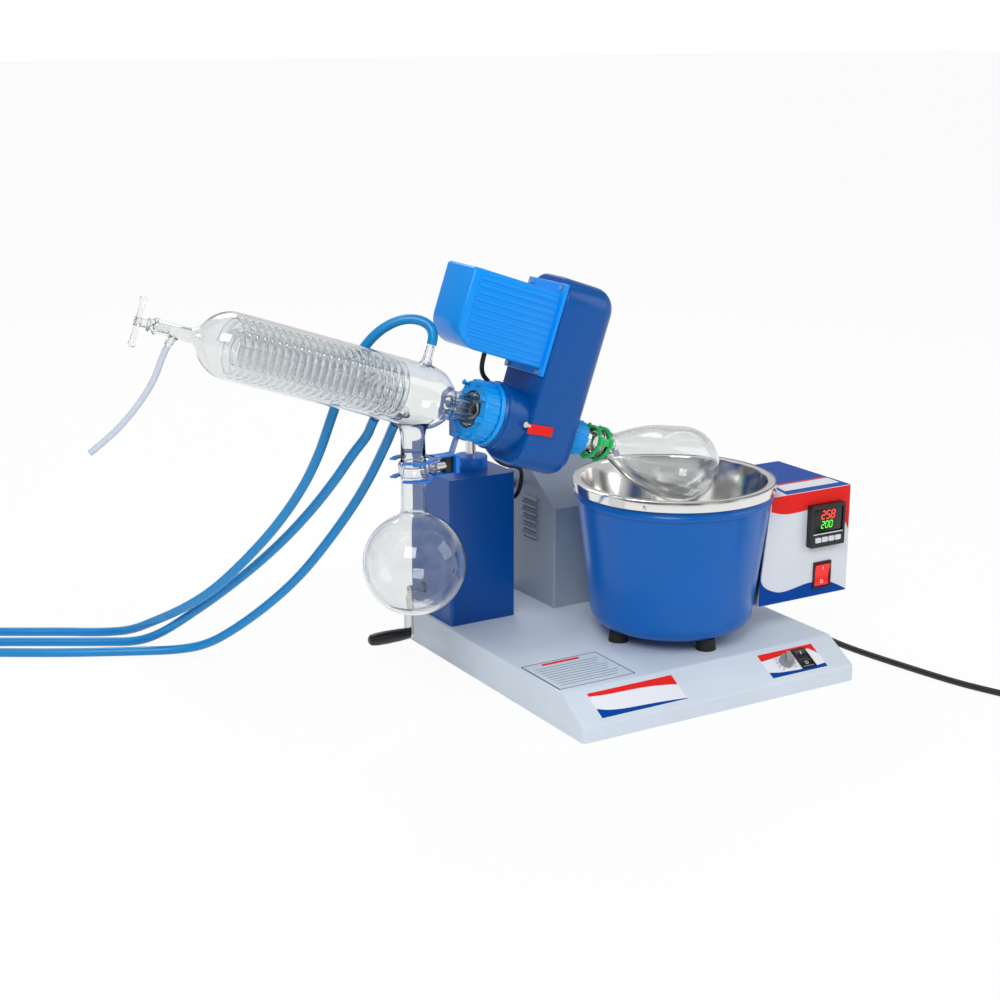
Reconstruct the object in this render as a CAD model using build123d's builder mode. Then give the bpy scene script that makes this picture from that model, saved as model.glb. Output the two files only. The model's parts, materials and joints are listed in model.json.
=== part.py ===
from build123d import *
import math
import os

# Rotary evaporator, in millimetres. The origin is the centre of the base's footprint on the
# table, with +X to the bath's side, +Y to the back and +Z up.

os.makedirs("parts", exist_ok=True)

GAP = 0.3  # seating gap between pieces of different bodies
RUNNING = 0.06  # radial clearance of a turning or sliding fit

# Base
BASE_WIDTH = 352.0
BASE_DEPTH = 384.0
BASE_TOP = 40.0
LIP_HEIGHT = 16.0
SLOPE_RUN = 42.0
SHEET = 2.0
CORNER_RADIUS = 5.0

# Controls on the slope of the base
KNOB_X = 97.0
KNOB_RADIUS = 8.0
KNOB_HEIGHT = 11.0
POT_SHAFT_RADIUS = 3.0
POT_BODY_RADIUS = 10.0
POT_BODY_DEPTH = 9.0
SWITCH_X = 121.0
SWITCH_WIDTH = 19.0
SWITCH_LENGTH = 27.0
BEZEL_RIM = 2.0
BEZEL_PROUD = 1.8
SWITCH_DEPTH = 12.0

# Column and lift
COLUMN_WIDTH = 83.0
COLUMN_DEPTH = 96.0
COLUMN_LEFT = -171.0
COLUMN_FRONT = 84.0
COLUMN_TOP = 208.0
COLUMN_WALL = 2.5
ROD_X = -118.0
ROD_Y = 132.0
ROD_RADIUS = 6.0
ROD_FOOT = 7.0
COLLAR_RADIUS = 19.0
COLLAR_HEIGHT = 13.0
LOWER_GUIDE_TOP = 52.0
GUIDE_THICKNESS = 8.0
LIFT_TRAVEL = 50.0

# Rack and pinion
TOOTH_MODULE = 1.25
PINION_TEETH = 16
RACK_LINE = 3.6  # rack pitch line behind the rod's axis
MESH_PLAY = 0.25
TOOTH_PLAY = 0.3
PINION_WIDTH = 14.0
CRANK_Z = 66.0
SHAFT_RADIUS = 5.0

# Crank
CRANK_ARM_LENGTH = 48.0
CRANK_ARM_WIDTH = 12.0
CRANK_ARM_THICKNESS = 3.0
CRANK_ARM_X = -BASE_WIDTH / 2 - 16.0
GRIP_LENGTH = 51.0
GRIP_RADIUS = 7.6
GRIP_BOLT_RADIUS = 3.0

# Power box behind the bath
POWER_LEFT = -38.0
POWER_WIDTH = 118.0
POWER_FRONT = 81.0
POWER_DEPTH = 103.0
POWER_FRONT_TOP = 158.0
POWER_TOP = 204.0
POWER_SLOPE_RUN = 65.0
LOUVRE_COUNT = 6
LOUVRE_PITCH = 9.0
LOUVRE_LENGTH = 30.0
LOUVRE_HEIGHT = 3.0
CABLE_GLAND_RADIUS = 5.0
CABLE_GLAND_HEIGHT = 168.0
MAINS_GLAND_SETBACK = 60.0
MAINS_GLAND_HEIGHT = 54.0

# Bath
BATH_X = 32.0
BATH_Y = -50.0
BATH_TOP_RADIUS = 106.5
BATH_FLOOR_RADIUS = 89.5
BATH_RIM_RADIUS = BATH_TOP_RADIUS + 4.0
BATH_RIM_TOP = 216.0
BATH_RIM_BAND = 11.0
BATH_RIM_LEDGE = 9.0
BATH_FLOOR = 53.0
BATH_ROUNDING = 19.0
BATH_SKIN = 1.5
BOWL_FLOOR = 97.0
HEATER_RADIUS = 76.0
HEATER_BORE = 34.0
HEATER_POST_CIRCLE = 56.0
HEATER_POST_RADIUS = 4.0
HEATER_THICKNESS = 7.0
BOWL_CLEARANCE = 2.2  # from the bowl's side to the body's wall at the bowl's floor
BATH_FOOT_RADIUS = 11.0
BATH_FOOT_CIRCLE = 68.0
BATH_FOOT_TURN = 178.0
BEAD_RADIUS = 2.2

# Bath control box
BOX_RIGHT = 230.0
BOX_FRONT = -112.0
BOX_DEPTH = 126.0
BOX_FLOOR = 72.0
BOX_TOP = 195.0
BOX_LEFT_TOP = 118.0
BOX_LEFT_FLOOR = 104.0
CONTROLLER_X = 193.0
CONTROLLER_Z = 155.0
CONTROLLER_SIZE = 48.0
CONTROLLER_PROUD = 8.0
CONTROLLER_DEPTH = 60.0
KEY_COUNT = 4
KEY_PITCH = 9.4
KEY_WIDTH = 8.0
KEY_HEIGHT = 5.6
KEY_TRAVEL = 0.6
KEY_ROW_DROP = 15.5
HEATER_SWITCH_X = 193.0
HEATER_SWITCH_Z = 96.0
HEATER_SWITCH_WIDTH = 25.0
HEATER_SWITCH_LENGTH = 31.0

# Head: its axis lies in a vertical plane along X and tilts down to the right
TILT = 19.0
AXIS_X = -218.4
AXIS_Y = -47.0
AXIS_Z = 317.2
HOUSING_START = 48.0
HOUSING_END = 114.0
HOUSING_LOW = -44.0
HOUSING_HIGH = 153.0
HOUSING_WIDTH = 74.0
HOUSING_CORNER = 24.0
HOUSING_ROUNDING = 20.0
HOUSING_WALL = 3.5
BOSS_RADIUS = 33.5
BOSS_START = 19.0
BOSS_RING_RADIUS = 35.0
BOSS_RING_WIDTH = 6.0
NUT_RADIUS = 31.0
NUT_FACE = -3.0
NUT_BORE = 19.5
NUT_RIBS = 20
SPIGOT_RADIUS = 27.0
SPIGOT_START = 8.0
BEARING_RADIUS = 21.0
BEARING_WIDTH = 9.0
SPINDLE_RADIUS = 12.0
SPINDLE_BORE = 9.0
SPINDLE_END = 143.0
SPINDLE_PULLEY_RADIUS = 24.0
MOTOR_PULLEY_RADIUS = 10.0
PULLEY_START = 62.0
PULLEY_WIDTH = 14.0
BELT_THICKNESS = 2.0
MOTOR_HEIGHT = 97.0
MOTOR_RADIUS = 23.0
MOTOR_START = -42.0
MOTOR_SHAFT_RADIUS = 4.0
COVER_START = -59.0
COVER_LOW = 58.0
COVER_HIGH = 136.0
COVER_WIDTH = 64.0
COVER_END_WIDTH = 56.0
COVER_CORNER = 26.0
COVER_WALL = 2.5
COVER_RIBS = 11
FLANGE_THICKNESS = 4.0
FLANGE_LOW = 51.0
FLANGE_HIGH = 146.0
END_COLLAR_RADIUS = 18.5
END_COLLAR_RIBS = 14
END_COLLAR_LENGTH = 28.0

# Glass on the axis
GLASS_WALL = 1.8
VAPOUR_RADIUS = 8.4
JOINT_RADIUS = 13.0
FLASK_NECK_START = 158.0
FLASK_NECK_END = 177.0
FLASK_RADIUS = 42.0
FLASK_CENTRE = 276.0
CONDENSER_RADIUS = 32.0
CONDENSER_RIGHT = -76.0
CONDENSER_LEFT = -280.0
CONDENSER_NECK_RADIUS = 6.5
CONDENSER_NECK_START = -304.0
CONDENSER_END = -347.0
FLANGE_RADIUS = 17.0
COIL_RADIUS = 26.0
INNER_COIL_RADIUS = 15.0
COIL_TUBE_RADIUS = 3.0
COIL_PITCH = 7.6
COIL_START = -270.0
COIL_TURNS = 24
OUTLET_X = -286.0
OUTLET_RADIUS = 12.0
OUTLET_END = 268.0
NOZZLE_ROOT = 6.0
NOZZLE_TIP = 3.4
NOZZLE_REACH = 20.0
TOP_NOZZLE_S = -66.0
BACK_NOZZLES_S = (-72.0, -96.0)
SIDE_NOZZLE_S = -327.0
STOPCOCK_S = -361.0
STOPCOCK_BAR = 47.0

# Receiving flask and its clamp
RECEIVER_RADIUS = 52.4
RECEIVER_Z = 167.0
RECEIVER_NECK_RADIUS = 12.8
RECEIVER_NECK_TOP = 258.5
BALL_RADIUS = 15.0
FORK_THICKNESS = 4.0
FORK_UPPER_Z = 272.0
FORK_LOWER_Z = 254.0
FORK_REACH = 14.0
FORK_TINE = 5.0
FORK_INNER = 15.6

# Cords
HOSE_RADIUS = 5.0
FEED_RADIUS = 3.0
MOTOR_CABLE_RADIUS = 2.5
MAINS_RADIUS = 3.5
CORD_ARC_SHARE = 0.45
COIL_CENTRE_X = 338.0
COIL_CENTRE_Y = -346.0
COIL_MIDDLE = 39.0

tilt = math.radians(TILT)
axis_direction = Vector(math.cos(tilt), 0, -math.sin(tilt))
rise_direction = Vector(math.sin(tilt), 0, math.cos(tilt))
axis_origin = Vector(AXIS_X, AXIS_Y, AXIS_Z)
rotary_axis = Axis(axis_origin, axis_direction)
pinion_radius = TOOTH_MODULE * PINION_TEETH / 2
crank_y = ROD_Y + RACK_LINE + pinion_radius + MESH_PLAY
slope_angle = math.degrees(math.atan2(BASE_TOP - LIP_HEIGHT, SLOPE_RUN))


def on_axis(s, rise=0.0, across=0.0):
    """A point s along the rotary axis, rise above it and across towards the back."""
    return axis_origin + axis_direction * s + rise_direction * rise + Vector(0, across, 0)


def side_plane(across=0.0):
    """Plane of (s, rise) whose normal points to the front."""
    return Plane(on_axis(0, 0, across), x_dir=axis_direction, z_dir=(0, -1, 0))


def end_plane(s, rise=0.0):
    """Plane of (across, rise) whose normal runs along the rotary axis."""
    return Plane(on_axis(s, rise), x_dir=(0, 1, 0), z_dir=axis_direction)


def slope_plane(x):
    """Plane on the middle of the base's slope, with its Y up the slope."""
    tip = math.radians(slope_angle)
    middle = (x, -BASE_DEPTH / 2 + SLOPE_RUN / 2, (LIP_HEIGHT + BASE_TOP) / 2)
    return Plane(middle, x_dir=(1, 0, 0), z_dir=(0, -math.sin(tip), math.cos(tip)))


def save(piece, name):
    piece.part.label = name
    export_step(piece.part, f"parts/{name}.step")


# Base housing: folded sheet with a sloped front, open underneath
with BuildPart() as base_housing:
    with BuildSketch(Plane.YZ.offset(-BASE_WIDTH / 2)):
        with BuildLine():
            Polyline(
                (-BASE_DEPTH / 2, 0),
                (-BASE_DEPTH / 2, LIP_HEIGHT),
                (-BASE_DEPTH / 2 + SLOPE_RUN, BASE_TOP),
                (BASE_DEPTH / 2, BASE_TOP),
                (BASE_DEPTH / 2, 0),
                close=True,
            )
        make_face()
    extrude(amount=BASE_WIDTH)
    fillet(base_housing.edges().filter_by(Axis.Z), radius=CORNER_RADIUS)
    offset(amount=-SHEET, openings=base_housing.faces().sort_by(Axis.Z)[0])
    with BuildSketch(Plane.XY.offset(BASE_TOP)):
        with Locations((ROD_X, ROD_Y)):
            Circle(ROD_RADIUS + 2)
    extrude(amount=-SHEET * 2, mode=Mode.SUBTRACT)
    with BuildSketch(slope_plane(KNOB_X)):
        Circle(POT_SHAFT_RADIUS + 1)
    extrude(amount=-SHEET * 2, both=True, mode=Mode.SUBTRACT)
    with BuildSketch(slope_plane(SWITCH_X)):
        Rectangle(SWITCH_WIDTH - BEZEL_RIM, SWITCH_LENGTH - BEZEL_RIM)
    extrude(amount=-SHEET * 2, both=True, mode=Mode.SUBTRACT)
save(base_housing, "base_housing")

# Floor pan inside the housing's walls, flush with their lower edge
with BuildPart() as base_pan:
    with BuildSketch(Plane.XY):
        RectangleRounded(BASE_WIDTH - 2 * SHEET, BASE_DEPTH - 2 * SHEET, CORNER_RADIUS - SHEET)
    extrude(amount=SHEET)
save(base_pan, "base_pan")

# Speed potentiometer under the slope, and its pointer knob
with BuildPart() as speed_potentiometer:
    with BuildSketch(slope_plane(KNOB_X).offset(-SHEET - POT_BODY_DEPTH)):
        Circle(POT_BODY_RADIUS)
    extrude(amount=POT_BODY_DEPTH)
    with BuildSketch(slope_plane(KNOB_X).offset(-SHEET - POT_BODY_DEPTH / 2)):
        Circle(POT_SHAFT_RADIUS + RUNNING)
    extrude(amount=POT_BODY_DEPTH, mode=Mode.SUBTRACT)
save(speed_potentiometer, "speed_potentiometer")

with BuildPart() as speed_knob:
    with BuildSketch(slope_plane(KNOB_X).offset(GAP)):
        Circle(KNOB_RADIUS)
    extrude(amount=KNOB_HEIGHT * 0.55)
    with BuildSketch(slope_plane(KNOB_X).offset(GAP + KNOB_HEIGHT * 0.55)):
        SlotOverall(KNOB_RADIUS * 2 - 1.4, KNOB_RADIUS * 0.7, rotation=60)
    extrude(amount=KNOB_HEIGHT * 0.45)
    with BuildSketch(slope_plane(KNOB_X).offset(-SHEET - POT_BODY_DEPTH / 2 + GAP)):
        Circle(POT_SHAFT_RADIUS)
    extrude(amount=SHEET + POT_BODY_DEPTH / 2)
save(speed_knob, "speed_knob")


def rocker_switch(face, width, length):
    """Bezel with its body, and the rocker that tips about the face's X in it."""
    rim_top = BEZEL_PROUD
    rocker_width = width - 2 * BEZEL_RIM - 2 * GAP
    rocker_length = length - 2 * BEZEL_RIM - 2.4
    with BuildPart() as bezel:
        with BuildSketch(face):
            RectangleRounded(width, length, 1)
        extrude(amount=rim_top)
        with BuildSketch(face.offset(-SWITCH_DEPTH)):
            Rectangle(width - BEZEL_RIM - 2 * GAP, length - BEZEL_RIM - 2 * GAP)
        extrude(amount=SWITCH_DEPTH)
        with BuildSketch(face.offset(-SWITCH_DEPTH * 0.6)):
            Rectangle(width - 2 * BEZEL_RIM, length - 2 * BEZEL_RIM)
        extrude(amount=SWITCH_DEPTH * 0.6 + rim_top, mode=Mode.SUBTRACT)
    with BuildPart() as rocker:
        with BuildSketch(Plane(face.origin, x_dir=face.y_dir, z_dir=face.x_dir)):
            with BuildLine():
                Polyline(
                    (-rocker_length / 2, 1.2),
                    (-rocker_length / 2 + 1, -2.4),
                    (rocker_length / 2 - 1, -2.4),
                    (rocker_length / 2, 3.4),
                )
                ThreePointArc((rocker_length / 2, 3.4), (0, 0.9), (-rocker_length / 2, 1.2))
            make_face()
        extrude(amount=rocker_width / 2, both=True)
    return bezel, rocker


switch_face = slope_plane(SWITCH_X)
base_switch_bezel, base_switch_rocker = rocker_switch(switch_face, SWITCH_WIDTH, SWITCH_LENGTH)
save(base_switch_bezel, "base_switch_bezel")
save(base_switch_rocker, "base_switch_rocker")

# Column: a blue sheet housing for the lift, open to the base
column_centre_x = COLUMN_LEFT + COLUMN_WIDTH / 2
column_centre_y = COLUMN_FRONT + COLUMN_DEPTH / 2
with BuildPart() as column_housing:
    with BuildSketch(Plane.XY.offset(BASE_TOP)):
        with Locations((column_centre_x, column_centre_y)):
            RectangleRounded(COLUMN_WIDTH, COLUMN_DEPTH, 4)
    extrude(amount=COLUMN_TOP - BASE_TOP)
    offset(amount=-COLUMN_WALL, openings=column_housing.faces().sort_by(Axis.Z)[0])
    with BuildSketch(Plane.XY.offset(COLUMN_TOP)):
        with Locations((ROD_X, ROD_Y)):
            Circle(ROD_RADIUS + 3)
    extrude(amount=-COLUMN_WALL * 2, mode=Mode.SUBTRACT)
    with BuildSketch(Plane.YZ.offset(COLUMN_LEFT)):
        with Locations((crank_y, CRANK_Z)):
            Circle(SHAFT_RADIUS + 3)
    extrude(amount=COLUMN_WALL * 2, mode=Mode.SUBTRACT)
save(column_housing, "column_housing")

# Collar on the column's top that guides the rod, with its spigot in the top hole
with BuildPart() as lift_collar:
    with BuildSketch(Plane.XY.offset(COLUMN_TOP)):
        with Locations((ROD_X, ROD_Y)):
            Circle(COLLAR_RADIUS)
    extrude(amount=COLLAR_HEIGHT)
    fillet(lift_collar.edges().sort_by(Axis.Z)[-1], radius=1.5)
    with BuildSketch(Plane.XY.offset(COLUMN_TOP)):
        with Locations((ROD_X, ROD_Y)):
            Circle(ROD_RADIUS + 3 - GAP)
    extrude(amount=-COLUMN_WALL * 3)
    with BuildSketch(Plane.XY.offset(COLUMN_TOP - COLUMN_WALL * 3)):
        with Locations((ROD_X, ROD_Y)):
            Circle(ROD_RADIUS + RUNNING)
    extrude(amount=COLLAR_HEIGHT + COLUMN_WALL * 3, mode=Mode.SUBTRACT)
save(lift_collar, "lift_collar")

# Gear carrier: a frame on the base that guides the rod's foot and holds the crank shaft
carrier_left = ROD_X - PINION_WIDTH / 2 - 9
carrier_right = ROD_X + PINION_WIDTH / 2 + 9
with BuildPart() as gear_carrier:
    with BuildSketch(Plane.XY.offset(BASE_TOP)):
        with Locations((ROD_X, (ROD_Y + crank_y) / 2)):
            Rectangle(carrier_right - carrier_left, 52)
    extrude(amount=LOWER_GUIDE_TOP - BASE_TOP)
    with BuildSketch(Plane.YZ.offset(carrier_left)):
        with Locations((crank_y, (LOWER_GUIDE_TOP + CRANK_Z + 12) / 2)):
            Rectangle(24, CRANK_Z + 12 - LOWER_GUIDE_TOP)
    extrude(amount=8)
    with BuildSketch(Plane.YZ.offset(carrier_right - 8)):
        with Locations((crank_y, (LOWER_GUIDE_TOP + CRANK_Z + 12) / 2)):
            Rectangle(24, CRANK_Z + 12 - LOWER_GUIDE_TOP)
    extrude(amount=8)
    with BuildSketch(Plane.XY.offset(BASE_TOP)):
        with Locations((ROD_X, ROD_Y)):
            Circle(ROD_RADIUS + RUNNING)
        with Locations((ROD_X, crank_y)):
            Rectangle(PINION_WIDTH + 2, pinion_radius * 2 + 5)
    extrude(amount=LOWER_GUIDE_TOP - BASE_TOP, mode=Mode.SUBTRACT)
    with BuildSketch(Plane.YZ.offset(carrier_left)):
        with Locations((crank_y, CRANK_Z)):
            Circle(SHAFT_RADIUS + RUNNING)
    extrude(amount=carrier_right - carrier_left, mode=Mode.SUBTRACT)
save(gear_carrier, "gear_carrier")

# Lift rod with rack teeth cut in its back
bracket_floor = 243.0
BRACKET_SIZE = 38.0
BRACKET_HEIGHT = 48.0
tooth_pitch = math.pi * TOOTH_MODULE
rack_tip = RACK_LINE + TOOTH_MODULE
rack_root = RACK_LINE - 1.25 * TOOTH_MODULE
tooth_slant = math.tan(math.radians(20))
gap_count = int((LIFT_TRAVEL + 24) / tooth_pitch)
first_gap = CRANK_Z + 8 - (gap_count - 0.5) * tooth_pitch
gap_shift = (CRANK_Z - first_gap) % tooth_pitch
with BuildPart() as lift_rod:
    with BuildSketch(Plane.XY.offset(ROD_FOOT)):
        with Locations((ROD_X, ROD_Y)):
            Circle(ROD_RADIUS)
    extrude(amount=bracket_floor + BRACKET_HEIGHT * 0.75 - ROD_FOOT)
    with BuildSketch(Plane.YZ.offset(ROD_X - ROD_RADIUS)):
        root = tooth_pitch / 4 - 1.25 * TOOTH_MODULE * tooth_slant
        mouth = tooth_pitch / 4 + (ROD_RADIUS + 1 - RACK_LINE) * tooth_slant
        for gap in range(gap_count):
            with Locations((ROD_Y, first_gap + gap_shift + gap * tooth_pitch)):
                Polygon(
                    (rack_root, -root),
                    (ROD_RADIUS + 1, -mouth),
                    (ROD_RADIUS + 1, mouth),
                    (rack_root, root),
                    align=None,
                )
    extrude(amount=2 * ROD_RADIUS, mode=Mode.SUBTRACT)
    with BuildSketch(Plane.XY.offset(ROD_FOOT)):
        with Locations((ROD_X, ROD_Y + rack_tip + 5)):
            Rectangle(2 * ROD_RADIUS, 10)
    extrude(amount=first_gap + gap_shift + gap_count * tooth_pitch - ROD_FOOT, mode=Mode.SUBTRACT)
save(lift_rod, "lift_rod")

# Crank shaft with its pinion, a tooth pointing at the rack
with BuildPart() as crank_shaft:
    with BuildSketch(Plane.YZ.offset(ROD_X - PINION_WIDTH / 2)):
        with Locations((crank_y, CRANK_Z)):
            Circle(pinion_radius - 1.25 * TOOTH_MODULE)
            half_root = tooth_pitch / 4 + 1.25 * TOOTH_MODULE * tooth_slant - TOOTH_PLAY
            half_line = tooth_pitch / 4 - TOOTH_PLAY
            half_tip = tooth_pitch / 4 - TOOTH_MODULE * tooth_slant - TOOTH_PLAY
            tip_radius = pinion_radius + 0.8 * TOOTH_MODULE
            with PolarLocations(0, PINION_TEETH, start_angle=180):
                Polygon(
                    (pinion_radius - 1.6 * TOOTH_MODULE, -half_root),
                    (pinion_radius, -half_line),
                    (tip_radius, -half_tip),
                    (tip_radius, half_tip),
                    (pinion_radius, half_line),
                    (pinion_radius - 1.6 * TOOTH_MODULE, half_root),
                    align=None,
                )
    extrude(amount=PINION_WIDTH)
    with BuildSketch(Plane.YZ.offset(CRANK_ARM_X + CRANK_ARM_THICKNESS)):
        with Locations((crank_y, CRANK_Z)):
            Circle(SHAFT_RADIUS)
    extrude(amount=carrier_right - CRANK_ARM_X - CRANK_ARM_THICKNESS)
save(crank_shaft, "crank_shaft")

# Crank arm: a flat bar hanging from the shaft, with the bolt that carries the grip
with BuildPart() as crank_arm:
    with BuildSketch(Plane.YZ.offset(CRANK_ARM_X)):
        with Locations((crank_y, CRANK_Z - CRANK_ARM_LENGTH / 2)):
            SlotOverall(CRANK_ARM_LENGTH + CRANK_ARM_WIDTH, CRANK_ARM_WIDTH, rotation=90)
    extrude(amount=CRANK_ARM_THICKNESS)
    with BuildSketch(Plane.YZ.offset(CRANK_ARM_X)):
        with Locations((crank_y, CRANK_Z - CRANK_ARM_LENGTH)):
            Circle(GRIP_BOLT_RADIUS)
    extrude(amount=-GRIP_LENGTH * 0.8)
save(crank_arm, "crank_arm")

with BuildPart() as crank_grip:
    with BuildSketch(Plane.YZ.offset(CRANK_ARM_X - GAP)):
        with Locations((crank_y, CRANK_Z - CRANK_ARM_LENGTH)):
            Circle(GRIP_RADIUS)
    extrude(amount=-GRIP_LENGTH)
    fillet(crank_grip.edges().filter_by(GeomType.CIRCLE), radius=1.5)
    with BuildSketch(Plane.YZ.offset(CRANK_ARM_X - GAP)):
        with Locations((crank_y, CRANK_Z - CRANK_ARM_LENGTH)):
            Circle(GRIP_BOLT_RADIUS + RUNNING)
    extrude(amount=-GRIP_LENGTH * 0.85, mode=Mode.SUBTRACT)
save(crank_grip, "crank_grip")

# Power box: sheet housing with a sloped upper front and louvres in its left side
power_right = POWER_LEFT + POWER_WIDTH
power_back = POWER_FRONT + POWER_DEPTH
with BuildPart() as power_box:
    with BuildSketch(Plane.YZ.offset(POWER_LEFT)):
        with BuildLine():
            Polyline(
                (POWER_FRONT, BASE_TOP),
                (POWER_FRONT, POWER_FRONT_TOP),
                (POWER_FRONT + POWER_SLOPE_RUN, POWER_TOP),
                (power_back, POWER_TOP),
                (power_back, BASE_TOP),
                close=True,
            )
        make_face()
    extrude(amount=POWER_WIDTH)
    fillet(power_box.edges().filter_by(Axis.Z), radius=2.5)
    offset(amount=-SHEET, openings=power_box.faces().sort_by(Axis.Z)[0])
    with BuildSketch(Plane.YZ.offset(POWER_LEFT)):
        with Locations((POWER_FRONT + 52, POWER_FRONT_TOP - 23)):
            with GridLocations(0, LOUVRE_PITCH, 1, LOUVRE_COUNT):
                SlotOverall(LOUVRE_LENGTH, LOUVRE_HEIGHT)
    extrude(amount=2 * SHEET, mode=Mode.SUBTRACT)
save(power_box, "power_box")

with BuildPart() as power_supply:
    with BuildSketch(Plane.XY.offset(BASE_TOP)):
        with Locations((POWER_LEFT + 62, POWER_FRONT + 54)):
            RectangleRounded(70, 56, 2)
    extrude(amount=54)
    with BuildSketch(Plane.XY.offset(BASE_TOP)):
        with Locations((POWER_LEFT + 62, POWER_FRONT + 54)):
            RectangleRounded(46, 66, 4)
    extrude(amount=44)
save(power_supply, "power_supply")

# Bath: blue tapered body with a bead under its rim
body_top = BATH_RIM_TOP - BATH_RIM_BAND
bath_axis = Axis((BATH_X, BATH_Y, 0), (0, 0, 1))
bath_plane = Plane((BATH_X, BATH_Y, 0), x_dir=(1, 0, 0), z_dir=(0, -1, 0))
with BuildPart() as bath_body:
    with BuildSketch(bath_plane):
        with BuildLine():
            Polyline(
                (0, BATH_FLOOR),
                (BATH_FLOOR_RADIUS - BATH_ROUNDING, BATH_FLOOR),
            )
            Line((BATH_FLOOR_RADIUS, BATH_FLOOR + BATH_ROUNDING), (BATH_TOP_RADIUS, body_top))
            RadiusArc(
                (BATH_FLOOR_RADIUS - BATH_ROUNDING, BATH_FLOOR),
                (BATH_FLOOR_RADIUS, BATH_FLOOR + BATH_ROUNDING),
                -BATH_ROUNDING,
            )
            Polyline(
                (BATH_TOP_RADIUS, body_top),
                (BATH_TOP_RADIUS, BATH_RIM_TOP - BATH_SKIN),
                (BATH_TOP_RADIUS - BATH_SKIN, BATH_RIM_TOP - BATH_SKIN),
                (BATH_TOP_RADIUS - BATH_SKIN, body_top),
                (BATH_FLOOR_RADIUS - BATH_SKIN, BATH_FLOOR + BATH_ROUNDING),
            )
            RadiusArc(
                (BATH_FLOOR_RADIUS - BATH_ROUNDING, BATH_FLOOR + BATH_SKIN),
                (BATH_FLOOR_RADIUS - BATH_SKIN, BATH_FLOOR + BATH_ROUNDING),
                -(BATH_ROUNDING - BATH_SKIN),
            )
            Polyline(
                (BATH_FLOOR_RADIUS - BATH_ROUNDING, BATH_FLOOR + BATH_SKIN),
                (0, BATH_FLOOR + BATH_SKIN),
                (0, BATH_FLOOR),
            )
        make_face()
    revolve(axis=bath_axis)
    with BuildSketch(bath_plane):
        with Locations((BATH_TOP_RADIUS - 1.2, body_top - 9)):
            Circle(BEAD_RADIUS)
    revolve(axis=bath_axis)
save(bath_body, "bath_body")

# Steel bowl with a turned-over rim that caps the body
bowl_radius = BATH_RIM_RADIUS - BATH_RIM_LEDGE
body_slope = (BATH_TOP_RADIUS - BATH_FLOOR_RADIUS) / (body_top - BATH_FLOOR - BATH_ROUNDING)
body_radius_there = BATH_FLOOR_RADIUS + body_slope * (BOWL_FLOOR - BATH_FLOOR - BATH_ROUNDING)
bowl_floor_radius = body_radius_there - BATH_SKIN - BOWL_CLEARANCE
with BuildPart() as bath_bowl:
    with BuildSketch(bath_plane):
        with BuildLine():
            Polyline(
                (0, BOWL_FLOOR),
                (bowl_floor_radius, BOWL_FLOOR),
                (bowl_radius, BATH_RIM_TOP - BATH_SKIN),
                (BATH_RIM_RADIUS - BATH_SKIN, BATH_RIM_TOP - BATH_SKIN),
                (BATH_RIM_RADIUS - BATH_SKIN, body_top),
                (BATH_RIM_RADIUS, body_top),
                (BATH_RIM_RADIUS, BATH_RIM_TOP),
                (bowl_radius - BATH_SKIN, BATH_RIM_TOP),
                (bowl_floor_radius - BATH_SKIN, BOWL_FLOOR + BATH_SKIN),
                (0, BOWL_FLOOR + BATH_SKIN),
                close=True,
            )
        make_face()
    revolve(axis=bath_axis)
    fillet(bath_bowl.edges().group_by(Axis.Z)[-1].sort_by(SortBy.RADIUS)[-1], radius=1.2)
save(bath_bowl, "bath_bowl")

# Ring heater under the bowl, on three posts from the body's floor
with BuildPart() as bath_heater:
    with BuildSketch(Plane.XY.offset(BOWL_FLOOR - HEATER_THICKNESS)):
        with Locations((BATH_X, BATH_Y)):
            Circle(HEATER_RADIUS)
            Circle(HEATER_BORE, mode=Mode.SUBTRACT)
    extrude(amount=HEATER_THICKNESS)
    with BuildSketch(Plane.XY.offset(BATH_FLOOR + BATH_SKIN)):
        with Locations((BATH_X, BATH_Y)):
            with PolarLocations(HEATER_POST_CIRCLE, 3):
                Circle(HEATER_POST_RADIUS)
    extrude(amount=BOWL_FLOOR - HEATER_THICKNESS - BATH_FLOOR - BATH_SKIN)
save(bath_heater, "bath_heater")

# Brass temperature probe through the bowl's floor
probe_x = BATH_X + 24
probe_y = BATH_Y - 8
with BuildPart() as temperature_probe:
    with BuildSketch(Plane.XY.offset(BOWL_FLOOR + BATH_SKIN)):
        with Locations((probe_x, probe_y)):
            RegularPolygon(6.5, 6)
    extrude(amount=5)
    with BuildSketch(Plane.XY.offset(BOWL_FLOOR + BATH_SKIN + 5)):
        with Locations((probe_x, probe_y)):
            Circle(3)
    extrude(amount=12)
    fillet(temperature_probe.edges().sort_by(Axis.Z)[-1], radius=1.5)
save(temperature_probe, "temperature_probe")

# Four rubber feet of the bath on the base
with BuildPart() as bath_feet:
    with BuildSketch(Plane.XY.offset(BASE_TOP)):
        with Locations((BATH_X, BATH_Y)):
            with PolarLocations(BATH_FOOT_CIRCLE, 4, start_angle=BATH_FOOT_TURN):
                Circle(BATH_FOOT_RADIUS)
    extrude(amount=BATH_FLOOR - BASE_TOP, taper=6)
save(bath_feet, "bath_feet")

# Control box: sheet box open to the bath, its left edges cut to the body's taper
box_back = BOX_FRONT + BOX_DEPTH


def box_profile(wall):
    """Outline of the box on a vertical plane along X, inside its walls."""
    with BuildLine() as outline:
        Polyline(
            (BOX_LEFT_FLOOR - 3 * wall, BOX_FLOOR + wall),
            (BOX_RIGHT - wall, BOX_FLOOR + wall),
            (BOX_RIGHT - wall, BOX_TOP - wall),
            (BOX_LEFT_TOP - 3 * wall, BOX_TOP - wall),
            close=True,
        )
    return outline.line


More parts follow.
